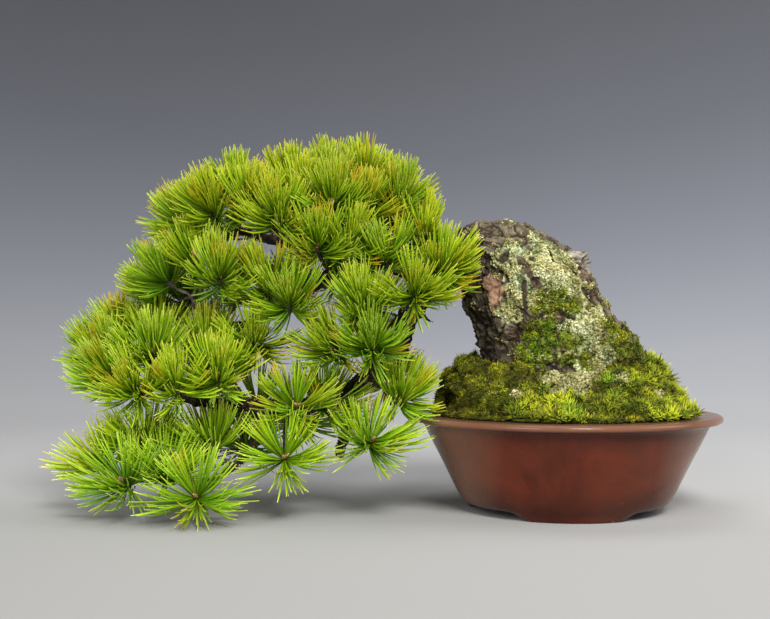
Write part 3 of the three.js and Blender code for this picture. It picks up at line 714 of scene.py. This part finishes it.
def splitSpray(nodeName):
    # finds every CAD needle (tip, root), and leaves the spray's twigs and cores as a closed form
    form = mergedCopy(nodeName)
    needles = []
    tips = []
    for vert in form.verts:
        reach = [edge.other_vert(vert).co for edge in vert.link_edges]
        ways = [(place - vert.co).normalized() for place in reach]
        if min((place - vert.co).length for place in reach) < needleShape["cadLeast"]:
            continue
        if max(ways[0].angle(way) for way in ways) > needleShape["cadSlim"]:
            continue
        needles.append((vert.co.copy(), sum(reach, Vector()) / len(reach)))
        tips.append(vert)
    bmesh.ops.delete(form, geom=tips, context="VERTS")
    bmesh.ops.holes_fill(form, edges=form.edges, sides=0)
    bmesh.ops.triangulate(form, faces=form.faces)
    bmesh.ops.recalc_face_normals(form, faces=form.faces)
    return needles, form


def twigMaterial():
    material = speckled("youngPineTwig", 0.85, (180, 5, 0.6), (0.3, (0.016, 0.012, 0.008)),
                        (0.5, (0.050, 0.038, 0.024)), (0.7, (0.14, 0.11, 0.07)))
    addBump(noiseAt(objectPlace(), 700, 3), 0.6, 0.0005)
    return material


def needleMaterial():
    material = newMaterial("freshPineNeedle", 0.45, 0.22)
    along = attributeOf("along")
    # each needle darkens towards its root: partly its own colour, partly painted shade deep in the tuft
    young = rampOf(along, (0.0, (0.09, 0.16, 0.003)), (0.2, (0.18, 0.32, 0.005)), (0.55, (0.34, 0.54, 0.010)),
                   (0.88, (0.53, 0.71, 0.026)), (1.0, (0.80, 0.84, 0.20)))
    deep = rampOf(along, (0.0, (0.03, 0.085, 0.003)), (0.2, (0.06, 0.17, 0.004)), (0.6, (0.14, 0.33, 0.008)),
                  (0.88, (0.27, 0.49, 0.018)), (1.0, (0.54, 0.65, 0.13)))
    color = mixColor(attributeOf("tint"), young, deep)
    # no two tufts have quite the same green
    tone = rampOf(attributeOf("tone"), (0.0, (0.70, 0.86, 0.9)), (0.4, (0.88, 0.96, 0.9)),
                  (0.7, (0.97, 1.0, 0.8)), (1.0, (1.08, 1.04, 0.75)))
    color = tinted(color, tone)
    gold = rampOf(along, (0.0, (0.12, 0.16, 0.004)), (0.45, (0.26, 0.33, 0.006)), (0.78, (0.46, 0.42, 0.012)),
                  (0.92, (0.62, 0.41, 0.025)), (1.0, (0.60, 0.33, 0.05)))
    color = mixColor(attributeOf("warm"), color, gold)
    # painted light and shade: needles are darkened towards the crown and lightened low down
    level = times(partsOf(objectPlace())["Z"], 1 / 0.26)
    paintedHeightShade = rampOf(level, (0.12, (1.08, 1.04, 0.92)), (0.45, (0.83, 0.80, 0.60)),
                 (0.9, (0.70, 0.66, 0.38)))
    toShader(tinted(color, paintedHeightShade))
    return material


def budMaterial():
    return speckled("scalyPineBud", 0.6, (900, 3, 0.6), (0.35, (0.10, 0.045, 0.018)),
                    (0.55, (0.36, 0.18, 0.07)), (0.7, (0.60, 0.40, 0.20)))


def makeBud():
    # a slim scaly bud, widest below its middle
    form = bmesh.new()
    bmesh.ops.create_uvsphere(form, u_segments=6, v_segments=5, radius=1.0)
    along = form.verts.layers.float.new("along")
    for vert in form.verts:
        share = (vert.co.z + 1) / 2
        swell = 1.25 - 0.55 * share + 0.16 * noise.noise(vert.co * 3.1 + Vector((random.random(), 0, 0)))
        vert[along] = share
        width, length = budShape["width"], budShape["length"]
        vert.co = Vector((vert.co.x * swell * width, vert.co.y * swell * width, share * length)) * mm
    return formArrays(form)


def tuftAround(root, needles):
    # middle and axis of the tuft that a needle's root belongs to
    near = [(tip, base) for tip, base in needles if (base - root).length < needleShape["tuftRadius"]]
    middle = sum((base for tip, base in near), Vector()) / len(near)
    axis = sum(((tip - base).normalized() for tip, base in near), Vector()).normalized()
    return middle, axis


def reachOf(root, way, length):
    # the share of its length that a bundle keeps
    shape = reachShape
    place = inMm(root)
    keep = shape["keep"] + shape["topGrow"] * smoothStep(*shape["top"], place.z) * max(0.0, way.z)
    if place.z < shape["low"]:
        keep += shape["lowGrow"] * (1 - abs(way.z))
    edge = shape["crownEdge"] if place.z > shape["crownAbove"] else shape["stumpEdge"]
    ahead = way.x * length / mm
    if place.z > shape["stumpAbove"] and place.x + ahead > edge and ahead > 0:
        keep = min(keep, max(shape["least"], (edge - place.x) / ahead))
    return keep


def budSpots(middle, axis):
    # a shoot ends in one large bud with two or three small ones beside it
    shape = budShape
    way = (axis + Vector((0, -0.5, 0))).normalized()
    size = shape["size"]
    spots = [(0, alongMatrix(middle + way * shape["start"], way, anyTurn(), (size, size, size)), {}, None)]
    for _ in range(random.choice((2, 3))):
        aside = (way + jitter(0.6)).normalized()
        size = random.uniform(*shape["sideSize"])
        start = middle + way * shape["sideStart"] + aside * shape["apart"]
        spots.append((1, alongMatrix(start, aside, anyTurn(), (size, size, size)), {}, None))
    return spots


def broomsOf(axis):
    # a tuft parts into brooms of needles: one along its shoot and some round it
    start = anyTurn()
    brooms = [axis]
    for i in range(needleShape["brooms"]):
        aside = around(axis, evenTurn(start, i, needleShape["brooms"], 0.25))
        tilt = math.radians(random.uniform(*needleShape["broomTilt"]))
        brooms.append((axis * math.cos(tilt) + aside * math.sin(tilt)).normalized())
    return brooms


def bundleSpot(start, way, size, warmth, tone, light):
    # a needle leaves its shoot flat and bows up to the light
    shape = needleShape
    inward = light - way * light.dot(way)
    bow = -inward * shape["bow"] * size * shape["length"] * random.uniform(0.4, 1.3)
    matrix = alongMatrix(start, way, anyTurn(), (1, 1, size))
    number = random.randrange(shape["forms"])
    if start.z < shape["openBelow"]:
        number += shape["forms"]
    return number, matrix, {"warm": warmth, "tone": tone}, bow


def needleSpots(needles, buds, hearts):
    shape = needleShape
    spots = []
    tufts = {}
    for tip, root in needles:
        middle, axis = tuftAround(root, needles)
        if tuple(middle) not in tufts:
            tufts[tuple(middle)] = broomsOf(axis), random.random()
            hearts.append((middle, axis))
            buds.extend(budSpots(middle, axis))
        brooms, tone = tufts[tuple(middle)]
        # high tufts reach for the light, and their tips turn gold in places
        high = smoothStep(*shape["highTufts"], root.z / mm)
        light = (axis + Vector((0, 0, 0.3 + 0.7 * high))).normalized()
        sunny = smoothStep(0.0, 0.25, noise.noise(tip * 27)) * (0.4 + 0.6 * high)
        warmth = random.uniform(0.45, 1.0) if random.random() < 0.04 + 0.36 * sunny else 0.2 * random.random()
        way = (tip - root).normalized()
        broom = max(brooms, key=way.dot)
        pull = shape["pull"] * high
        start = root + broom * random.uniform(-0.5, 5.5) * pull * 2 * mm
        size = (tip - start).length / shape["length"]
        way = (way.lerp(broom, pull) + Vector((0, 0, 0.1 * high))).normalized()
        if high < 0.5 and way.angle(axis) < 0.6:
            # low tufts stand open, so that the buds in their hearts show
            way = (way + 0.5 * (way - axis * way.dot(axis)).normalized()).normalized()
        size *= reachOf(start, way, size * shape["length"])
        spots.append(bundleSpot(start, way, size, warmth, tone, light))
        if way.angle(axis) < 1.0 and random.random() < 0.95:
            # younger bundles stand along the shoot's end and fill the tuft's middle
            inner = (axis * random.uniform(0.3, 1.4) + way).normalized()
            inner = inner.lerp(max(brooms, key=inner.dot), 0.15 + 0.35 * high)
            inner = (inner + jitter(0.15)).normalized()
            if high < 0.5 and inner.angle(axis) < 0.7:
                continue
            start = middle + axis * random.uniform(0, 7) * mm
            size *= random.uniform(*shape["innerSize"])
            spots.append(bundleSpot(start, inner, size, warmth * 0.7, tone, light))
    return spots


def makeTwigs(nodeName, woody, skin):
    shape = twigShape
    form = remeshed(woody, shape["voxel"])
    relax(form, form.verts)
    rough, fine = shape["rough"], shape["roughPerMetre"]
    shift(form, [vert.normal * noise.fractal(vert.co * fine, 0.8, 2.1, 3) * rough for vert in form.verts])
    finishPiece(nodeName.replace("spray", "twigs"), meshOf(nodeName + "_twigs", form), skin, "wood")


def makeSprays(hearts):
    shape = needleShape
    # the first forms are close bundles for the crown, as many again are open ones for the low tufts
    spreads = [shape["spread"]] * shape["forms"] + [shape["lowSpread"]] * shape["forms"]
    bundles = [makeBundle(spread) for spread in spreads]
    needleSkin = needleMaterial()
    twigSkin = twigMaterial()
    buds = []
    for nodeName in sorted(name for name in nodes if name.startswith("spray_")):
        needles, woody = splitSpray(nodeName)
        spots = needleSpots(needles, buds, hearts)
        mesh = plantCopies(nodeName + "_needles", bundles, spots, shape["lowest"])
        finishPiece(nodeName.replace("spray", "needles"), mesh, needleSkin, "needles", nodeName)
        mesh.shade_flat()
        makeTwigs(nodeName, woody, twigSkin)
    budMesh = plantCopies("shoot_buds", [makeBud(), makeBud()], buds, shape["lowest"])
    finishPiece("shoot_buds", budMesh, budMaterial(), "wood")
    return bundles, needleSkin


def makeOldNeedles(hearts, bundles, skin):
    # short needles of the year before stand out under the hearts of the high tufts
    shape = needleShape
    spots = []
    for middle, axis in hearts:
        if middle.z < shape["oldAbove"]:
            continue
        start = anyTurn()
        for i in range(shape["oldBundles"]):
            aside = around(axis, evenTurn(start, i, shape["oldBundles"], 0.3))
            way = (aside - axis * random.uniform(-0.4, 0.3) + Vector((0, 0.45, 0))).normalized()
            place = middle - axis * random.uniform(0, 5) * mm
            spots.append(bundleSpot(place, way, random.uniform(*shape["oldSize"]), 0.0, 0.0, axis))
    mesh = plantCopies("old_needles", bundles, spots, shape["lowest"])
    finishPiece("needles_old", mesh, skin, "needles")
    mesh.shade_flat()


tuftHearts = []
needleBundles, needleSkin = makeSprays(tuftHearts)
print("sprays are dressed")


# Moss: the cushions' CAD forms skinned and lumped, with thousands of small shoots; bare lengths in mm
mossShape = {
    "voxel": 2.1 * mm,
    "cushion": 16.5,
    "dome": 6.0,
    "gap": 3.2,
    "ripple": 1.6,
    "spacing": 1.95 * mm,
    "backSpacing": 2.7 * mm,
    "stumpSpacing": 1.8 * mm,
    "shootHeight": 3.5 * mm,
    "leafRadius": 0.52 * mm,
    "leaflets": 5,
    "forms": 14,
    "lowest": 65.2 * mm,
    # above the pot's lip the cushions swell, and over its edge they hang out a little
    "swellHeights": (65.4, 67.5),
    "hangHeights": (66, 73),
    "hangRadii": (74, 80),
    "hang": 2.2,
    # beside the stump the thin ends are rounded off and lie low
    "thin": 4 * mm,
    "thinAbove": 85 * mm,
    "thinRounds": 12,
    "free": (0.4, 5.0),
    "sink": 1.5,
    "sinkHeights": (82, 90),
    # where no shoots stand: below the lip and right against the stump
    "shootsAbove": 65.5,
    "clear": 0.8 * mm,
    "stumpCushion": 5.5,
    "stumpAbove": 70 * mm,
}
lichenShape = {"forms": 12, "sides": 5, "radius": 0.82 * mm, "thick": 0.7 * mm, "spacing": 1.2 * mm,
               "crustSpacing": 0.85 * mm}
# Fresh green patches among the others: middle and radius
mossFresh = [((-5, -80, 75), 7), ((24, -62, 88), 9), ((-22, -40, 107), 12), ((-16, -42, 118), 9)]
# Places on the moss where crust lichen grows instead: middle and radius
mossCrust = [((-10, -52, 93), 11), ((-2, -60, 87), 9), ((-13, -64, 84), 7), ((12, -46, 96), 8),
             ((3, -52, 92), 9),
             ((30, -52, 90), 6), ((56, -44, 82), 5), ((-40, -66, 82), 4)]
# Colour zones: middle, radius, kind (0 olive brown, 0.5 mid green, 1 bright yellow-green)
mossZones = [((-75, -40, 82), 30, 0.12), ((-60, -52, 90), 20, 0.2), ((-42, -62, 88), 12, 0.6),
             ((-33, -75, 75), 12, 0.9), ((-14, -80, 74), 13, 1.0), ((6, -78, 75), 12, 0.9),
             ((20, -68, 80), 11, 0.5), ((37, -56, 87), 12, 0.55), ((60, -43, 87), 18, 0.85),
             ((66, -50, 76), 15, 1.0), ((48, -65, 74), 8, 0.5), ((52, -30, 99), 16, 0.6),
             ((62, -22, 92), 14, 0.95),
             ((0, 55, 85), 40, 0.45)]


def makeMossShoot(height, spread):
    # a star of narrow leaflets round a short stem
    whole = bmesh.new()
    count = mossShape["leaflets"]
    along = whole.verts.layers.float.new("along")
    for i in range(count):
        made = bmesh.ops.create_cone(whole, cap_ends=True, segments=3, radius1=mossShape["leafRadius"],
                                     radius2=0, depth=height * random.uniform(0.7, 1.1))
        verts = made["verts"]
        lowest = min(vert.co.z for vert in verts)
        bmesh.ops.translate(whole, verts=verts, vec=(0, 0, -lowest))
        for vert in verts:
            vert[along] = min(1.0, vert.co.z / height)
        turn = evenTurn(0, i, count, 0.2)
        tilt = math.radians(spread * random.uniform(0.5, 1.2)) if i else 0.0
        matrix = Matrix.Rotation(turn, 4, "Z") @ Matrix.Rotation(tilt, 4, "Y")
        bmesh.ops.transform(whole, matrix=matrix, verts=verts)
    return formArrays(whole)


def makeLichenLobe():
    # one ruffled lobe of crust lichen: a flat top with its point buried in the bark
    form = bmesh.new()
    bmesh.ops.create_cone(form, cap_ends=True, segments=lichenShape["sides"], radius1=0,
                          radius2=lichenShape["radius"], depth=lichenShape["thick"])
    phase = random.uniform(0, 9)
    for vert in form.verts:
        turn = math.atan2(vert.co.y, vert.co.x)
        reach = 1 + 0.5 * noise.noise(Vector((math.cos(turn) * 2, math.sin(turn) * 2, phase)))
        vert.co.x *= reach
        vert.co.y *= reach
        vert.co.z += 0.5 * mm * noise.noise(Vector((turn * 1.7, phase, 0)))
    return formArrays(form)


def mossMaterial():
    material = newMaterial("livingMoss", 0.75, 0.2)
    along = attributeOf("along")
    kind = attributeOf("kind")
    # each shoot darkens to near black at its base: partly its own colour, partly painted shade inside the
    # cushion
    olive, middle, bright = (rampOf(along, *zip((0.0, 0.4, 0.8, 1.0), colors)) for colors in (
        ((0.006, 0.005, 0.001), (0.07, 0.062, 0.002), (0.40, 0.36, 0.008), (0.86, 0.76, 0.06)),
        ((0.006, 0.010, 0.001), (0.07, 0.10, 0.002), (0.36, 0.43, 0.008), (0.80, 0.84, 0.08)),
        ((0.012, 0.02, 0.001), (0.15, 0.20, 0.003), (0.48, 0.54, 0.014), (0.82, 0.82, 0.16))))
    low = mixColor(times(kind, 2.0, True), olive, middle)
    high = mathOf("SUBTRACT", times(kind, 2.0), 1.0, True)
    color = mixColor(high, low, bright)
    color = mixColor(times(attributeOf("tint"), 0.6), color, (0.06, 0.10, 0.003))
    leafy = rampOf(along, (0.0, (0.01, 0.03, 0.001)), (0.35, (0.07, 0.17, 0.004)),
                   (0.8, (0.26, 0.43, 0.015)), (1.0, (0.52, 0.63, 0.10)))
    color = mixColor(times(attributeOf("fresh"), 0.85), color, leafy)
    # painted shade in the gaps between cushions
    color = mixColor(attributeOf("deep"), color, (0.010, 0.011, 0.002))
    # dry brown shoots and pale young ones stand among the others in small clumps
    clump = noiseAt(objectPlace(), 190, 3, 0.6)
    dry = rampOf(clump, (0.32, 0.9), (0.45, 0.0))
    straw = rampOf(along, (0.0, (0.012, 0.008, 0.002)), (0.6, (0.13, 0.075, 0.015)),
                   (1.0, (0.34, 0.23, 0.06)))
    color = mixColor(dry, color, straw)
    color = tinted(color, rampOf(clump, (0.42, (0.9, 0.9, 0.85)), (0.64, (1.6, 1.5, 1.1))))
    # and whole cushions are darker or lighter than their neighbours
    cushion = noiseAt(objectPlace(), 72, 2, 0.5, 0.8)
    tone = rampOf(cushion, (0.38, (0.42, 0.48, 0.36)), (0.48, (0.92, 0.94, 0.86)),
                  (0.62, (1.32, 1.26, 1.12)))
    toShader(tinted(color, tone))
    return material


def mossGroundMaterial():
    material = newMaterial("mossGround", 0.95, 0.08)
    place = objectPlace()
    color = rampOf(noiseAt(place, 260, 5, 0.7), (0.3, (0.012, 0.013, 0.001)),
                   (0.5, (0.045, 0.050, 0.003)), (0.7, (0.11, 0.11, 0.008)))
    crust = rampOf(noiseAt(place, 520, 5, 0.72), (0.38, (0.03, 0.028, 0.008)),
                   (0.50, (0.19, 0.18, 0.07)), (0.64, (0.50, 0.47, 0.25)))
    toShader(mixColor(attributeOf("crust"), color, crust))
    addBump(noiseAt(place, 500, 4), 0.8, 0.001)
    return material


def lichenMaterial():
    material = newMaterial("paleLichen", 0.85, 0.2)
    tint = attributeOf("tint")
    yellow, grey = (rampOf(tint, *zip((0.0, 0.35, 0.7, 1.0), colors)) for colors in (
        ((0.08, 0.07, 0.018), (0.24, 0.225, 0.065), (0.47, 0.435, 0.16), (0.82, 0.75, 0.42)),
        ((0.06, 0.07, 0.025), (0.20, 0.225, 0.085), (0.40, 0.43, 0.185), (0.72, 0.73, 0.44))))
    color = mixColor(attributeOf("grey"), yellow, grey)
    fleck = rampOf(noiseAt(objectPlace(), 1100, 3), (0.35, 0.7), (0.55, 0.0))
    toShader(mixColor(fleck, color, (0.09, 0.08, 0.03)))
    return material


def scatterOn(mesh, spacing, keep):
    # even, seeded places on a mesh: (place, normal, value) for faces that keep() wants
    spots = []
    for face in mesh.polygons:
        if random.random() > face.area / (spacing * spacing):
            continue
        value = keep(face)
        if value is None:
            continue
        corners = [mesh.vertices[index].co for index in face.vertices]
        weights = [random.random() for _ in corners]
        place = sum((corner * weight for corner, weight in zip(corners, weights)), Vector()) / sum(weights)
        spots.append((place, face.normal.copy(), value))
    return spots


def cushionAt(place):
    # how deep in the gap between cushions a place lies, its cushion's dome and its own number
    bent = place + noise.noise_vector(place * 0.09) * 5 + noise.noise_vector(place * 0.3) * 1.5
    near, points = noise.voronoi(bent / mossShape["cushion"])
    return 1 - smoothStep(0.04, 0.38, near[1] - near[0]), 1 - near[0] * near[0], noise.cell(points[0] * 5.7)


def mossKind(place):
    # the kind of moss at a place, and how deep it lies between two cushions
    weights, total = 1e-6, 0.5e-6
    for middle, radius, kind in mossZones:
        share = math.exp(-2 * ((place - Vector(middle)).length / radius) ** 2)
        weights += share
        total += share * kind
    gap, _, number = cushionAt(place)
    kind = total / weights + 0.45 * (number - 0.5) + random.uniform(-0.1, 0.1)
    return min(1.0, max(0.0, kind)), gap


def leaning(normal, amount, rise):
    return (normal + Vector((0, 0, rise)) + jitter(amount)).normalized()


def shootSpot(place, normal, kind, gap, height):
    way = leaning(normal, 0.35, 0.3)
    fresh = patchShare(inMm(place), mossFresh, 0.4)
    # shoots stand taller at the pot's lip
    edge = 1 - smoothStep(66, 71, place.z / mm)
    size = random.uniform(0.7, 1.25) * (1.0 + 0.5 * kind * kind + 0.3 * edge)
    matrix = alongMatrix(place - way * 0.5 * mm, way, anyTurn(), (size, size, size * height))
    number = random.randrange(mossShape["forms"])
    # painted shade: shoots deep in a gap between cushions are darkened
    deep = gap * (1.0 - 0.5 * kind)
    return number, matrix, {"kind": kind, "tint": random.random(), "deep": deep, "fresh": fresh}, None


def lobeSpot(place, normal, cream):
    number = random.randrange(lichenShape["forms"])
    way = leaning(normal, 0.7, 0.1)
    size = random.uniform(0.6, 1.3)
    matrix = alongMatrix(place + way * 0.15 * mm, way, anyTurn(), (size, size, size))
    grey = 0.0 if cream else smoothStep(-0.15, 0.2, noise.noise(place * 55))
    tint = min(1.0, max(0.0, random.gauss(0.5, 0.2) + 0.95 * noise.noise(place * 110)))
    return number, matrix, {"tint": tint, "grey": grey}, None


def toStump(place):
    return stumpTree.find_nearest(place)[3]


def makeMossGround(nodeName, skin):
    shape = mossShape
    form = remeshed(mergedCopy(nodeName), shape["voxel"])
    crusted = form.verts.layers.float.new("crust")
    high = [vert for vert in form.verts if vert.co.z > shape["thinAbove"]]
    relax(form, [vert for vert in high if toStump(vert.co) < shape["thin"]], shape["thinRounds"])
    moves = []
    for vert in form.verts:
        place = inMm(vert.co)
        vert[crusted] = patchShare(place, mossCrust, 0.25)
        free = smoothStep(*shape["free"], toStump(vert.co) / mm)
        gap, dome, number = cushionAt(place)
        lump = shape["dome"] * (dome * 0.6 + 0.5 * number - 0.75) - shape["gap"] * gap
        lump += shape["ripple"] * noise.noise(place * 0.22)
        up = smoothStep(*shape["swellHeights"], place.z)
        hang = shape["hang"] * (1 - smoothStep(*shape["hangHeights"], place.z))
        hang *= smoothStep(*shape["hangRadii"], place.xy.length)
        outwards = Vector((place.x, place.y, 0)).normalized() * hang
        sink = shape["sink"] * (1 - free) * smoothStep(*shape["sinkHeights"], place.z)
        # neighbouring cushions keep their shared edges: nothing moves round the pot's axis
        sideways = Vector((-place.y, place.x, 0)).normalized()
        way = vert.normal - sideways * vert.normal.dot(sideways)
        moves.append((way * (lump * up * free - sink) + outwards) * mm)
    shift(form, moves)
    mesh = meshOf(nodeName + "_ground", form)
    finishPiece(nodeName + "_ground", mesh, skin, "moss", nodeName)
    return mesh


def mossFace(face):
    # kind and gap of the moss on a face, or nothing where crust lichen takes its place
    shape = mossShape
    place = inMm(face.center)
    if face.normal.z < -0.3 or place.z < shape["shootsAbove"] or toStump(face.center) < shape["clear"]:
        return None
    return None if random.random() < 1.25 * patchShare(place, mossCrust, 0.2) else mossKind(place)


def crustFace(face):
    place = inMm(face.center)
    share = 0.8 * patchShare(place, mossCrust, 0.3) - 0.4 * max(0.0, noise.noise(place * 0.4))
    return True if place.z > 66 and random.random() < share else None


def makeMoss(leaf, forms, crustSpots):
    shape = mossShape
    skin = mossGroundMaterial()
    for nodeName in sorted(name for name in nodes if name.startswith("moss_")):
        mesh = makeMossGround(nodeName, skin)
        spots = []
        spacing = shape["backSpacing"] if nodeName == "moss_back" else shape["spacing"]
        for place, normal, (kind, gap) in scatterOn(mesh, spacing, mossFace):
            spots.append(shootSpot(place, normal, kind, gap, 0.6 + 0.75 * kind))
        shoots = plantCopies(nodeName + "_shoots", forms, spots, shape["lowest"])
        finishPiece(nodeName + "_shoots", shoots, leaf, "moss")
        for place, normal, _ in scatterOn(mesh, lichenShape["crustSpacing"], crustFace):
            crustSpots.append(lobeSpot(place, normal, True))


def dressStump(leaf, forms, lobes, crustSpots):
    mesh = trunkPiece.data
    values = {key: [item.value for item in mesh.attributes[key].data] for key in ("lichen", "moss", "crack")}

    def mean(key, face):
        return sum(values[key][index] for index in face.vertices) / len(face.vertices)

    def lichenFace(face):
        share = mean("lichen", face) * (1 - mean("crack", face)) * (1 - 0.7 * mean("moss", face))
        rough = noise.noise(face.center * 140) + 0.8 * noise.noise(face.center * 60)
        rough += 0.5 * noise.noise(face.center * 320)
        return share if share + 0.8 * rough > 0.46 else None

    def stumpMossFace(face):
        share = mean("moss", face)
        ragged = 0.3 * noise.noise(face.center * 160) + 0.4 * noise.noise(face.center * 420)
        return share if share > 0.45 + ragged and face.center.z > mossShape["stumpAbove"] else None

    for place, normal, _ in scatterOn(mesh, lichenShape["spacing"], lichenFace):
        crustSpots.append(lobeSpot(place, normal, False))
    finishPiece("stump_lichen", plantCopies("stump_lichen", lobes, crustSpots), lichenMaterial(), "wood")
    spots = []
    for place, normal, _ in scatterOn(mesh, mossShape["stumpSpacing"], stumpMossFace):
        spot = inMm(place)
        kind = 0.45 + 0.6 * noise.noise(place * 60) + (0.45 if spot.z > 129 and spot.x < 10 else 0.0)
        bent = spot + noise.noise_vector(spot * 0.3) * 1.5
        near = noise.voronoi(bent / mossShape["stumpCushion"])[0]
        gap = 1 - smoothStep(0.05, 0.4, near[1] - near[0])
        spots.append(shootSpot(place, normal, min(1.0, max(0.0, kind)), gap, 0.6))
    finishPiece("stump_moss", plantCopies("stump_moss", forms, spots), leaf, "moss")


def plantMossAndLichen():
    shape = mossShape
    lobes = [makeLichenLobe() for _ in range(lichenShape["forms"])]
    leaf = mossMaterial()
    forms = [makeMossShoot(shape["shootHeight"] * random.uniform(0.75, 1.25), random.uniform(25, 60))
             for _ in range(shape["forms"])]
    crustSpots = []
    makeMoss(leaf, forms, crustSpots)
    dressStump(leaf, forms, lobes, crustSpots)


stumpForm = bmesh.new()
stumpForm.from_mesh(nodes["trunk"].data)
stumpTree = BVHTree.FromBMesh(stumpForm)
stumpForm.free()
plantMossAndLichen()
makeOldNeedles(tuftHearts, needleBundles, needleSkin)
print("moss, lichen and old needles are planted")


# Soil and drain screen keep their CAD forms

def soilMaterial():
    material = speckled("dampSoil", 0.95, (420, 5, 0.7), (0.3, (0.012, 0.008, 0.005)),
                        (0.55, (0.05, 0.032, 0.02)), (0.75, (0.12, 0.085, 0.055)))
    addBump(noiseAt(objectPlace(), 600, 4), 1.0, 0.0015)
    return material


def screenMaterial():
    return speckled("blackMeshPlastic", 0.5, (300, 3), (0.3, (0.012, 0.012, 0.013)),
                    (0.7, (0.03, 0.03, 0.032)))


def dressNode(nodeName, material):
    for slot in nodes[nodeName].material_slots:
        slot.material = material


dressNode("soil", soilMaterial())
dressNode("drain_screen", screenMaterial())
print("soil and screen are coloured")


# Studio: a pale floor that rises into a round grey wall, and soft lights; in metres
studio = {
    "floorRadius": 0.8,
    "bend": 2.4,
    "bendSteps": 48,
    "height": 4.2,
    "turns": 72,
    # the paper's painted light and shade run from front to back over this depth
    "front": 0.6,
    "depth": 3.5,
    "aim": (0, 0, 0.12),
    "sky": (0.8, 0.82, 0.85, 1),
    "skyStrength": 0.5,
}
lamps = {
    "key": {"place": (0.3, -1.3, 1.0), "size": 0.6, "power": 33.0, "color": (1.0, 0.985, 0.95)},
    "top": {"place": (-0.1, 0.1, 1.5), "size": 1.2, "power": 7.0, "color": (1.0, 0.99, 0.97)},
    "left": {"place": (-0.9, -1.3, 0.65), "size": 0.9, "power": 18.0, "color": (0.98, 0.985, 1.0)},
    "right": {"place": (1.3, -0.4, 0.7), "size": 0.9, "power": 10.0, "color": (0.97, 0.98, 1.0)},
}


def paperMaterial():
    # pale grey paper with painted light and shade: lighter and bluer where it turns up at the back, darker
    # above and at the left
    material = newMaterial("studioPaper", 0.9, 0.1)
    parts = partsOf(objectPlace())
    back = times(plus(parts["Y"], studio["front"]), 1 / studio["depth"])
    color = rampOf(back, (0.06, (0.29, 0.284, 0.276)), (0.145, (0.36, 0.356, 0.349)),
                   (0.20, (0.475, 0.473, 0.468)), (0.28, (0.545, 0.545, 0.548)),
                   (0.43, (0.635, 0.638, 0.652)), (0.54, (0.615, 0.63, 0.672)),
                   (0.62, (0.55, 0.567, 0.625)), (0.73, (0.435, 0.449, 0.508)),
                   (0.83, (0.335, 0.346, 0.393)), (0.955, (0.262, 0.266, 0.294)))
    across = {"Value": parts["X"], "From Min": -1.3, "From Max": 0.5, "To Min": 0.66, "To Max": 1.03}
    leftShade = addNode("ShaderNodeMapRange", {}, across).outputs[0]
    tone = addNode("ShaderNodeCombineXYZ", {}, {"X": leftShade, "Y": leftShade, "Z": leftShade}).outputs[0]
    toShader(tinted(color, tone))
    return material


def makeStudio():
    floor, bend = studio["floorRadius"], studio["bend"]
    points = [(0.0, 0.0), (floor * 0.5, 0.0), (floor, 0.0)]
    for i in range(1, studio["bendSteps"] + 1):
        angle = math.radians(90) * i / studio["bendSteps"]
        points.append((floor + bend * math.sin(angle), bend * (1 - math.cos(angle))))
    points.append((floor + bend, studio["height"]))
    form = spun([(radius, 0, z) for radius, z in points], (0, 0, 0), studio["turns"], False)
    bmesh.ops.remove_doubles(form, verts=form.verts, dist=1e-5)
    bmesh.ops.recalc_face_normals(form, faces=form.faces)
    bmesh.ops.reverse_faces(form, faces=form.faces)
    mesh = meshOf("studio", form)
    mesh.shade_smooth()
    mesh.materials.append(paperMaterial())
    backdrop = bpy.data.objects.new("studio_floor", mesh)
    bpy.context.scene.collection.objects.link(backdrop)


def makeLamps():
    for name, lamp in lamps.items():
        data = bpy.data.lights.new(name, "AREA")
        data.shape = "DISK"
        data.size = lamp["size"]
        data.energy = lamp["power"]
        data.color = lamp["color"]
        light = bpy.data.objects.new(name, data)
        light.location = lamp["place"]
        light.rotation_mode = "QUATERNION"
        light.rotation_quaternion = (Vector(studio["aim"]) - light.location).to_track_quat("-Z", "Y")
        light.visible_camera = False
        bpy.context.scene.collection.objects.link(light)
    world = bpy.data.worlds.new("softSky")
    world.use_nodes = True
    sky = world.node_tree.nodes["Background"]
    sky.inputs["Color"].default_value = studio["sky"]
    sky.inputs["Strength"].default_value = studio["skyStrength"]
    bpy.context.scene.world = world


makeStudio()
makeLamps()
bpy.context.scene.view_settings.view_transform = "Standard"
print("studio is lit")

bpy.context.view_layer.update()
